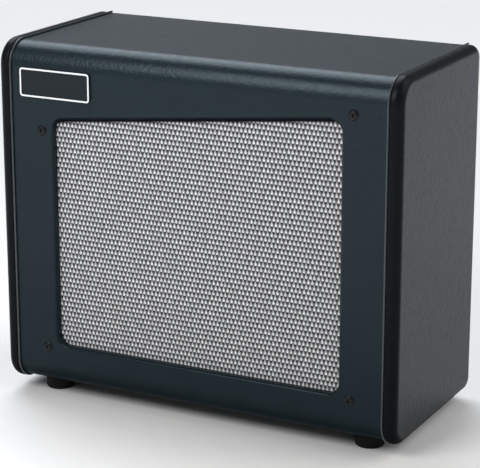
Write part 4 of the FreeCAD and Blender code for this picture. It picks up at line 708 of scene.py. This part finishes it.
def surface(
    name: str, points: Array, wrap_rows: bool = False, wrap_columns: bool = False,
    chart: Array | None = None, capped: bool = False,
) -> bpy.types.Object:
    """A smooth mesh over a grid of points, whose faces point outwards where it is closed.

    Neighbouring rows and columns of the grid bound one four-sided face each; wrapping joins the
    last row or column to the first. The sum of the signed volumes under the faces tells whether
    they point inwards, and then their order is turned round.

    Args:
        name: the piece's name.
        points: grid of points, rows by columns by three.
        wrap_rows: join the last row to the first.
        wrap_columns: join the last column to the first.
        chart: map coordinates of the points, rows by columns by two.
        capped: close the first and last row with a flat face.

    Returns:
        The new object.
    """
    rows, columns = points.shape[:2]
    index = np.arange(rows * columns).reshape(rows, columns)
    ends = [index[0].tolist(), index[-1][::-1].tolist()] if capped else []
    if wrap_rows:
        index = np.vstack([index, index[:1]])
    if wrap_columns:
        index = np.hstack([index, index[:, :1]])
    quads = np.stack([index[:-1, :-1], index[:-1, 1:], index[1:, 1:], index[1:, :-1]], axis=-1)
    quads = quads.reshape(-1, 4)
    flat = points.reshape(-1, 3)
    corner = flat[quads] - flat.mean(axis=0)
    volume = np.einsum("ij,ij->i", corner[:, 0], np.cross(corner[:, 1], corner[:, 2])).sum()
    volume += np.einsum("ij,ij->i", corner[:, 0], np.cross(corner[:, 2], corner[:, 3])).sum()
    faces = quads.tolist() + ends
    if volume < 0.0 and wrap_columns:
        faces = [face[::-1] for face in faces]
    mesh = bpy.data.meshes.new(name)
    mesh.from_pydata(flat.tolist(), [], faces)
    mesh.polygons.foreach_set("use_smooth", np.ones(len(mesh.polygons), dtype=bool))
    if chart is not None:
        corners = np.zeros(len(mesh.loops), dtype=np.int32)
        mesh.loops.foreach_get("vertex_index", corners)
        layer = mesh.uv_layers.new(name="threads")
        layer.data.foreach_set("uv", chart.reshape(-1, 2)[corners].astype(np.float32).ravel())
    return placed(name, mesh)


def smooth_route(name: str, points: Sequence[Point]) -> bpy.types.Object:
    """An open curve of order 3 with these points as its control points, touching the first and last.

    Args:
        name: the curve's name.
        points: control points in metres.

    Returns:
        The curve object, with no thickness.
    """
    curve = bpy.data.curves.new(name, "CURVE")
    curve.dimensions = "3D"
    spline = curve.splines.new("NURBS")
    spline.points.add(len(points) - 1)
    spline.points.foreach_set("co", np.hstack([np.array(points), np.ones((len(points), 1))]).ravel())
    spline.use_endpoint_u = True
    spline.order_u = 3
    spline.resolution_u = 16
    return placed(name, curve)


def drawn(route: bpy.types.Object) -> Array:
    """The points that a bare curve is drawn with.

    Args:
        route: a curve object with no thickness, which is removed.

    Returns:
        The points, one row each.
    """
    mesh = bpy.data.meshes.new_from_object(route)
    flat = np.zeros(len(mesh.vertices) * 3, dtype=np.float32)
    mesh.vertices.foreach_get("co", flat)
    bpy.data.meshes.remove(mesh)
    bpy.data.curves.remove(route.data)
    return flat.reshape(-1, 3).astype(float)


def headings(line: Array) -> Array:
    """Unit direction of a line at each of its points, from the points beside it."""
    along = np.gradient(line, axis=0)
    return along / np.linalg.norm(along, axis=1, keepdims=True)


def run_of(line: Array) -> Array:
    """Length of a line from its start to each of its points."""
    return np.concatenate([[0.0], np.cumsum(np.linalg.norm(np.diff(line, axis=0), axis=1))])


class SubAssembly(ABC):
    """A part of the cabinet that builds its own pieces and dresses its nodes."""

    @abstractmethod
    def dress(self) -> None:
        """Give every node of the sub-assembly its finish."""

    def build(self) -> None:
        """Make the pieces that the frame has only as plain solids."""

    def finish_nodes(self, finishes: dict[str, Finish]) -> None:
        """Dress nodes of the frame.

        Args:
            finishes: the finish of each node by name.
        """
        for name, finish in finishes.items():
            wear(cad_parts[name], finish)


@dataclass
class Covering(SubAssembly):
    """Vinyl over the side panels and round the shell, with a bead in each seam."""

    sides: tuple[str, ...] = ("left", "right")

    def dress(self) -> None:
        """Blue-black vinyl on the shell, black on the sides, plastic on the beads."""
        self.finish_nodes({"shell_covering": VINYL})
        self.finish_nodes({f"{side}_side_covering": SIDE_VINYL for side in self.sides})
        self.finish_nodes({f"{side}_piping": PIPING for side in self.sides})


@dataclass
class Boards(SubAssembly):
    """The wooden box under the vinyl, its battens and its cleats."""

    sideways: tuple[str, ...] = ("left_side_panel", "right_side_panel")
    upwards: tuple[str, ...] = ("top_panel", "bottom_panel")
    forwards: tuple[str, ...] = ("front_panel",)
    across: tuple[str, ...] = (
        "top_corner_moulding", "bottom_corner_moulding", "top_back_cleat", "bottom_back_cleat")
    depth: tuple[str, ...] = ("corner_battens",)
    up: tuple[str, ...] = ("left_back_cleat", "right_back_cleat")

    def dress(self) -> None:
        """Plywood by the way each board faces, pine by the way each strip runs."""
        for facing in Facing:
            names = getattr(self, facing.name.lower())
            self.finish_nodes({name: ply_board(facing) for name in names})
        for run in Axis:
            names = getattr(self, run.name.lower())
            self.finish_nodes({name: pine_strip(run) for name in names})


@dataclass
class Grille(SubAssembly):
    """Cloth stretched over the black baffle board, and the bolts that hold the board."""

    width: float = 0.44
    height: float = 0.356
    bottom: float = 0.045
    front: float = -0.105
    thick: float = 0.0008
    columns: int = 88
    rows: int = 72
    slack: float = 0.00015

    def build(self) -> None:
        """Stretch the cloth.

        The cloth is a flat grid. Its depth has a small swell, a product of two half sines that is
        nought at all four edges, where the cloth is glued down.
        """
        across = np.linspace(-self.width / 2, self.width / 2, self.columns + 1)
        up = np.linspace(self.bottom, self.bottom + self.height, self.rows + 1)
        x, z = np.meshgrid(across, up, indexing="xy")
        swell = np.sin(np.pi * (x / self.width + 0.5)) * np.sin(np.pi * (z - self.bottom) / self.height)
        points = np.stack([x, self.front - self.slack * swell, z], axis=-1)
        cloth = surface("grille_weave", points)
        wall = cloth.modifiers.new("cloth_thickness", "SOLIDIFY")
        wall.thickness = self.thick
        wall.offset = -1.0
        wear(cloth, GRILLE_WEAVE)
        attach(cloth, CABINET)
        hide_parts("grille_cloth")

    def dress(self) -> None:
        """Black board, black bolts in cup washers, zinc tee nuts."""
        self.finish_nodes({
            "baffle_board": BLACK_BOARD, "baffle_cup_washers": BLACK_STEEL,
            "baffle_bolts": BLACK_STEEL, "baffle_tee_nuts": ZINC,
        })


@dataclass
class Badge(SubAssembly):
    """Bare plate with a pale line round its rim."""

    middle: tuple[float, float] = (-0.178, 0.386)
    half_width: float = 0.047
    half_height: float = 0.017
    corner: float = 0.004
    front: float = -0.1173
    inset: float = 0.00115
    line: float = 0.00102
    rise: float = 0.00016
    corner_points: int = 10

    def build(self) -> None:
        """Carry a low rounded profile round the rim.

        The path is a rectangle with round corners: each corner is a quarter circle about its own
        middle, and the straight sides join them. A profile point moves the path out or in by its
        own amount, which only changes the quarter circles' radius, and stands off the plate.
        """
        turn = np.linspace(0.0, np.pi / 2, self.corner_points)
        angle = (turn[None, :] + np.arange(4)[:, None] * np.pi / 2).ravel()
        signs = np.repeat(np.array([[1, 1], [-1, 1], [-1, -1], [1, -1]]), self.corner_points, axis=0)
        reach = np.array([self.half_width - self.corner, self.half_height - self.corner])
        slope = np.linspace(0.0, np.pi, 7)
        out = np.concatenate([np.cos(slope), [-1.0, 1.0]]) * self.line - self.inset
        lift = np.concatenate([np.sin(slope) * self.rise, [-self.rise, -self.rise]])
        radius = (self.corner + out)[None, :]
        x = self.middle[0] + signs[:, :1] * reach[0] + np.cos(angle)[:, None] * radius
        z = self.middle[1] + signs[:, 1:] * reach[1] + np.sin(angle)[:, None] * radius
        y = np.broadcast_to(self.front - lift[None, :], x.shape)
        line = surface("badge_line", np.stack([x, y, z], axis=-1), wrap_rows=True, wrap_columns=True)
        wear(line, BADGE_LINE)
        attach(line, CABINET)

    def dress(self) -> None:
        """Dark bare field."""
        self.finish_nodes({"badge_plate": BADGE_FIELD})


@dataclass
class Feet(SubAssembly):
    """Four rubber feet with their screws."""

    def dress(self) -> None:
        """Rubber and zinc."""
        self.finish_nodes({"feet": RUBBER, "foot_washers": ZINC, "foot_screws": ZINC})


@dataclass
class Back(SubAssembly):
    """Two back panels with the open back between them."""

    panels: tuple[str, ...] = ("upper_back_panel", "lower_back_panel")

    def dress(self) -> None:
        """Vinyl-faced panels and black screws."""
        self.finish_nodes({name: BACK_VINYL for name in self.panels})
        self.finish_nodes({"back_panel_screws": BLACK_STEEL})


@dataclass
class RolledRing:
    """Cloth ring with rolls between a moving inner edge and a fixed outer rim.

    Attributes:
        name: the piece's name.
        node: the plain solid that it stands for.
        slot: the record's slot of its finish; not used.
        start: radius where the rolls begin.
        roll: half the width of a roll, and its height.
        rolls: number of rolls, alternately forwards and back.
        rim: outer radius of the flat rim.
        lip: inner radius of the glued lip.
        lip_fall: how far back the lip goes for each metre inwards.
        depth: place of the flat rim's middle.
        wall: thickness.
        threads: number of threads round the ring.
    """

    name: str
    node: str
    slot: str
    start: float
    roll: float
    rolls: int
    rim: float
    lip: float
    lip_fall: float
    depth: float
    wall: float
    threads: int
    level: float = SPEAKER_LEVEL
    turns: int = 160
    roll_points: int = 12

    def build(self, finish: Finish) -> None:
        """Turn the ring's section about the speaker's axis.

        Along the radius the middle line falls by a sine, one half wave to a roll; a sloping lip
        leads in from the cone and a flat rim leads out. Both faces lie half a wall off that line,
        at right angles to it.

        Args:
            finish: the ring's cloth.
        """
        end = self.start + 2 * self.roll * self.rolls
        rolled = np.linspace(self.start, end, self.rolls * self.roll_points + 1)
        radius = np.concatenate([np.linspace(self.lip, self.start, 4)[:-1], rolled, [self.rim]])
        fall = np.where(radius < self.start, (self.start - radius) * self.lip_fall, 0.0)
        inside = (radius > self.start) & (radius < end)
        wave = np.where(inside, -self.roll * np.sin(np.pi * (radius - self.start) / (2 * self.roll)), 0.0)
        line = np.stack([radius, self.depth + fall + wave], axis=-1)
        along = headings(line)
        side = np.stack([-along[:, 1], along[:, 0]], axis=-1) * self.wall / 2
        section = np.concatenate([line - side, (line + side)[::-1]])
        angle = np.linspace(0.0, FULL_TURN, self.turns, endpoint=False)[:, None]
        angle, out = np.broadcast_arrays(angle, section[None, :, 0])
        back = np.broadcast_to(section[None, :, 1], out.shape)
        points = np.stack([out * np.cos(angle), back, self.level + out * np.sin(angle)], axis=-1)
        chart = np.stack([angle, out / self.start], axis=-1) * self.threads / FULL_TURN
        ring = surface(self.name, points, wrap_rows=True, wrap_columns=True, chart=chart)
        wear(ring, finish)
        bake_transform(ring)
        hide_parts(self.node)


@dataclass
class TinselLead:
    """Braided flexible lead from the terminal board to the back of the cone."""

    side: int
    across: float = 0.026
    fixed: tuple[float, float] = (-0.04602, 0.1279)
    moving: tuple[float, float] = (-0.05001, 0.1803)
    bow: float = 0.004
    diameter: float = 0.0014
    round_points: int = 12
    strand_rise: float = 0.06
    strands_along: float = 1.5
    strands_round: int = 4

    def build(self) -> None:
        """Carry a braided circle along a bowed route.

        The circle's radius swells by a small sine of twice the turn and the run together, which
        gives the crossing strands of the braid.
        """
        name = f"tinsel_lead_{'left' if self.side < 0 else 'right'}"
        x = self.side * self.across
        ends = np.array([[x, *self.fixed], [x, *self.moving]])
        middle = ends.mean(axis=0) + np.array([0.0, self.bow, 0.0])
        line = drawn(smooth_route(name, [tuple(ends[0]), tuple(middle), tuple(ends[1])]))
        first = np.broadcast_to(np.array([1.0, 0.0, 0.0]), line.shape)
        second = np.cross(headings(line), first)
        run = run_of(line)[:, None]
        angle = np.linspace(0.0, FULL_TURN, self.round_points, endpoint=False)[None, :]
        strands = 1.0 + self.strand_rise * np.sin(2 * angle) * np.sin(run / self.diameter * np.pi)
        radius = (self.diameter / 2 * strands)[..., None]
        points = line[:, None, :] + radius * (
            np.cos(angle)[..., None] * first[:, None, :] + np.sin(angle)[..., None] * second[:, None, :])
        chart = np.stack(np.broadcast_arrays(
            run / self.diameter * self.strands_along, angle * self.strands_round / FULL_TURN), axis=-1)
        lead = surface(name, points, wrap_columns=True, chart=chart, capped=True)
        wear(lead, TINSEL_BRAID)
        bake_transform(lead)
        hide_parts("tinsel_leads")


@dataclass
class Speaker(SubAssembly):
    """Twelve-inch speaker behind the baffle."""

    baffle_back: float = -0.0862
    surround_depth: float = 0.00165
    spider_depth: float = 0.0537

    def build(self) -> None:
        """Make the surround, the spider and the two tinsel leads."""
        RolledRing(
            "surround_rolls", "speaker_surround", "surround_cloth", start=0.12665, roll=0.0022, rolls=2,
            rim=0.1435, lip=0.1215, lip_fall=0.4329, depth=self.baffle_back + self.surround_depth,
            wall=0.0007, threads=700).build(SURROUND_CLOTH)
        RolledRing(
            "spider_rolls", "speaker_spider", "spider_cloth", start=0.02305, roll=0.0022, rolls=8,
            rim=0.074, lip=0.0228, lip_fall=0.0, depth=self.baffle_back + self.spider_depth,
            wall=0.0006, threads=160).build(SPIDER_CLOTH)
        for side in (-1, 1):
            TinselLead(side).build()

    def dress(self) -> None:
        """Painted basket, zinc plates, ferrite ring, paper cone and plated hardware."""
        self.finish_nodes({
            "speaker_basket": BASKET_PAINT, "speaker_gasket": GASKET, "speaker_front_plate": STEEL_PLATE,
            "speaker_magnet": FERRITE, "speaker_yoke": STEEL_PLATE, "speaker_cone": CONE_PAPER,
            "voice_coil_former": FORMER_FOIL, "voice_coil_winding": COPPER_WIRE,
            "speaker_dust_cap": CAP_FELT, "speaker_tee_nuts": ZINC, "speaker_washers": ZINC,
            "speaker_bolts": BLACK_STEEL, "speaker_terminal_board": FIBRE_BOARD,
            "speaker_terminals": TINNED, "lead_connectors": TINNED,
        })


@dataclass
class InputJack(SubAssembly):
    """Plate on the lower back panel with its socket."""

    def dress(self) -> None:
        """Powder-coated plate, moulded socket, plated nut and contacts."""
        self.finish_nodes({
            "jack_plate": PLATE_PAINT, "jack_plate_screws": BLACK_STEEL, "jack_socket": MOULDED,
            "jack_rear_cap": MOULDED, "jack_washer": NICKEL, "jack_nut": NICKEL,
            "jack_tip_contact": TINNED, "jack_sleeve_contact": TINNED,
        })


@dataclass
class Wiring(SubAssembly):
    """Two insulated leads from the socket to the speaker, with their clips."""

    diameter: float = 0.0024
    shared: tuple[Point, ...] = (
        (0.026, -0.06305, 0.09842), (0.026, -0.07229, 0.08536), (0.021, -0.07029, 0.0527),
        (0.0105, -0.0482, 0.0327), (0.0017, -0.0202, 0.0327), (0.0017, 0.0298, 0.0327),
        (0.0017, 0.0495, 0.0547),
    )
    positive_end: tuple[Point, ...] = (
        (0.00085, 0.0535, 0.08265), (0.0, 0.0635, 0.10065), (0.0, 0.0815, 0.10065))
    negative_end: tuple[Point, ...] = (
        (0.00085, 0.0535, 0.07385), (0.0, 0.0635, 0.09185), (0.0, 0.0815, 0.09185))

    def build(self) -> None:
        """Run both leads, each on its own side of the middle."""
        self.lead("positive", (*self.shared, *self.positive_end), 1, RED_LEAD)
        self.lead("negative", (*self.shared, *self.negative_end), -1, BLACK_LEAD)

    def lead(self, name: str, route: Sequence[Point], side: int, finish: Finish) -> None:
        """One round lead along its route.

        Args:
            name: which lead it is.
            route: its control points on the right-hand side.
            side: 1 for the right-hand side, -1 for the left.
            finish: its insulation.
        """
        points = [(side * x, y, z) for x, y, z in route]
        length = float(run_of(drawn(smooth_route("bare_route", points)))[-1])
        lead = smooth_route(f"lead_{name}", points)
        lead.data.bevel_depth = self.diameter / 2
        lead.data.bevel_resolution = 3
        lead.data.use_fill_caps = True
        wear(lead, finish)
        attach(lead, CABINET)
        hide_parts(f"speaker_lead_{name}")

    def dress(self) -> None:
        """Moulded clips and zinc screws."""
        self.finish_nodes({"lead_clips": MOULDED, "lead_clip_screws": ZINC})


class LampKind(Enum):
    """A far broad lamp that lights everything alike, or a near square one."""

    BROAD = "SUN"
    SQUARE = "AREA"


@dataclass(frozen=True)
class Lamp:
    """One soft lamp aimed at a point.

    Attributes:
        name: the lamp's name.
        kind: far or near.
        place: where it hangs.
        aim: what it is turned to.
        spread: side in metres of a near lamp, or angle in degrees of a far one.
        strength: watts of a near lamp, or watts to the square metre of a far one.
        colour: the light's colour.
    """

    name: str
    kind: LampKind
    place: Point
    aim: Point
    spread: float
    strength: float
    colour: Shade = (1.0, 1.0, 1.0)

    def hang(self) -> None:
        """Make the lamp and turn it to its aim."""
        lamp = bpy.data.lights.new(self.name, self.kind.value)
        lamp.energy = self.strength
        lamp.color = self.colour
        if self.kind is LampKind.BROAD:
            lamp.angle = math.radians(self.spread)
        else:
            lamp.shape = "SQUARE"
            lamp.size = self.spread
        place = Vector(self.place)
        turn = (place - Vector(self.aim)).to_track_quat("Z", "Y")
        placed(self.name, lamp).matrix_world = Matrix.LocRotScale(place, turn, None)


@dataclass
class Studio:
    """Pale floor, soft lamps, even surroundings and the camera."""

    camera_place: Point = (1.0271, -1.9836, 0.8494)
    azimuth: float = 27.32
    elevation: float = 16.18
    lens: float = 146.9
    sensor: float = 36.0
    floor_radius: float = 14.0
    floor_rings: int = 24
    floor_turns: int = 96
    floor_eye: float = 0.002
    floor_patches: float = 30.0
    floor_shades: tuple[Shade, Shade] = ((0.93, 0.915, 0.9), (0.95, 0.935, 0.92))
    floor_roughness: float = 0.8
    floor_specular: float = 0.1
    overhead: float = 0.2
    skyline: float = 0.88
    haze: float = 0.13
    air: Shade = (0.94, 0.965, 1.0)
    lamps: tuple[Lamp, ...] = (
        Lamp(
            "back_lamp", LampKind.BROAD, (-0.8, 0.92, 1.98), (0.0, 0.0, 0.4), 46.0, 1.9,
            (0.86, 0.92, 1.0)),
        Lamp("side_lamp", LampKind.BROAD, (1.3, 0.55, 1.6), (0.0, 0.0, 0.4), 60.0, 1.3),
        Lamp("front_softbox", LampKind.SQUARE, (-0.34, -1.12, 1.16), (0.0, -0.1, 0.25), 0.8, 12.0),
    )

    def build(self) -> None:
        """Set up everything round the cabinet."""
        bpy.context.scene.view_settings.view_transform = "Standard"
        self.surroundings()
        self.floor()
        for lamp in self.lamps:
            lamp.hang()
        self.camera()

    def surroundings(self) -> None:
        """Even light, pale at the skyline and dimmer overhead by an S-curve of the height."""
        world = bpy.data.worlds.new("studio")
        tree = ShaderTree(world)
        height = tree.parts(tree.add("ShaderNodeTexCoord").outputs["Generated"])[Axis.UP.value]
        tree.give("Color", (*self.air, 1.0))
        tree.give("Strength", tree.ramp(height, 0.0, self.haze, self.skyline, self.overhead))
        bpy.context.scene.world = world

    def floor(self) -> None:
        """A wide pale disc: rings of points about the middle."""
        radius = np.linspace(self.floor_eye, self.floor_radius, self.floor_rings)[:, None]
        angle = np.linspace(0.0, FULL_TURN, self.floor_turns, endpoint=False)[None, :]
        points = np.stack([radius * np.cos(angle), radius * np.sin(angle), 0.0 * radius * angle], axis=-1)
        disc = surface("studio_floor", points, wrap_columns=True)
        material = bpy.data.materials.new("pale_floor")
        tree = ShaderTree(material)
        grain = tree.noise(tree.own_place(), self.floor_patches)
        tree.give("Base Color", tree.mix(grain, *self.floor_shades))
        tree.give("Roughness", self.floor_roughness)
        tree.give("Specular IOR Level", self.floor_specular)
        disc.data.materials.append(material)

    def camera(self) -> None:
        """A long lens at the front right, a little above the cabinet."""
        data = bpy.data.cameras.new("photo_camera")
        data.lens = self.lens
        data.sensor_width = self.sensor
        turn = Euler((math.radians(90.0 - self.elevation), 0.0, math.radians(self.azimuth)))
        obj = placed("photo_camera", data)
        obj.matrix_world = Matrix.LocRotScale(Vector(self.camera_place), turn, None)
        bpy.context.scene.camera = obj


def main() -> None:
    """Build and dress each sub-assembly, then set up the studio."""
    logging.basicConfig(level=logging.INFO, format="%(name)s: %(message)s")
    for assembly in (
        Covering(), Boards(), Grille(), Badge(), Feet(), Back(), Speaker(), InputJack(), Wiring(),
    ):
        LOG.info("building %s", type(assembly).__name__)
        assembly.build()
        assembly.dress()
    Studio().build()


if __name__ == "__main__":
    main()
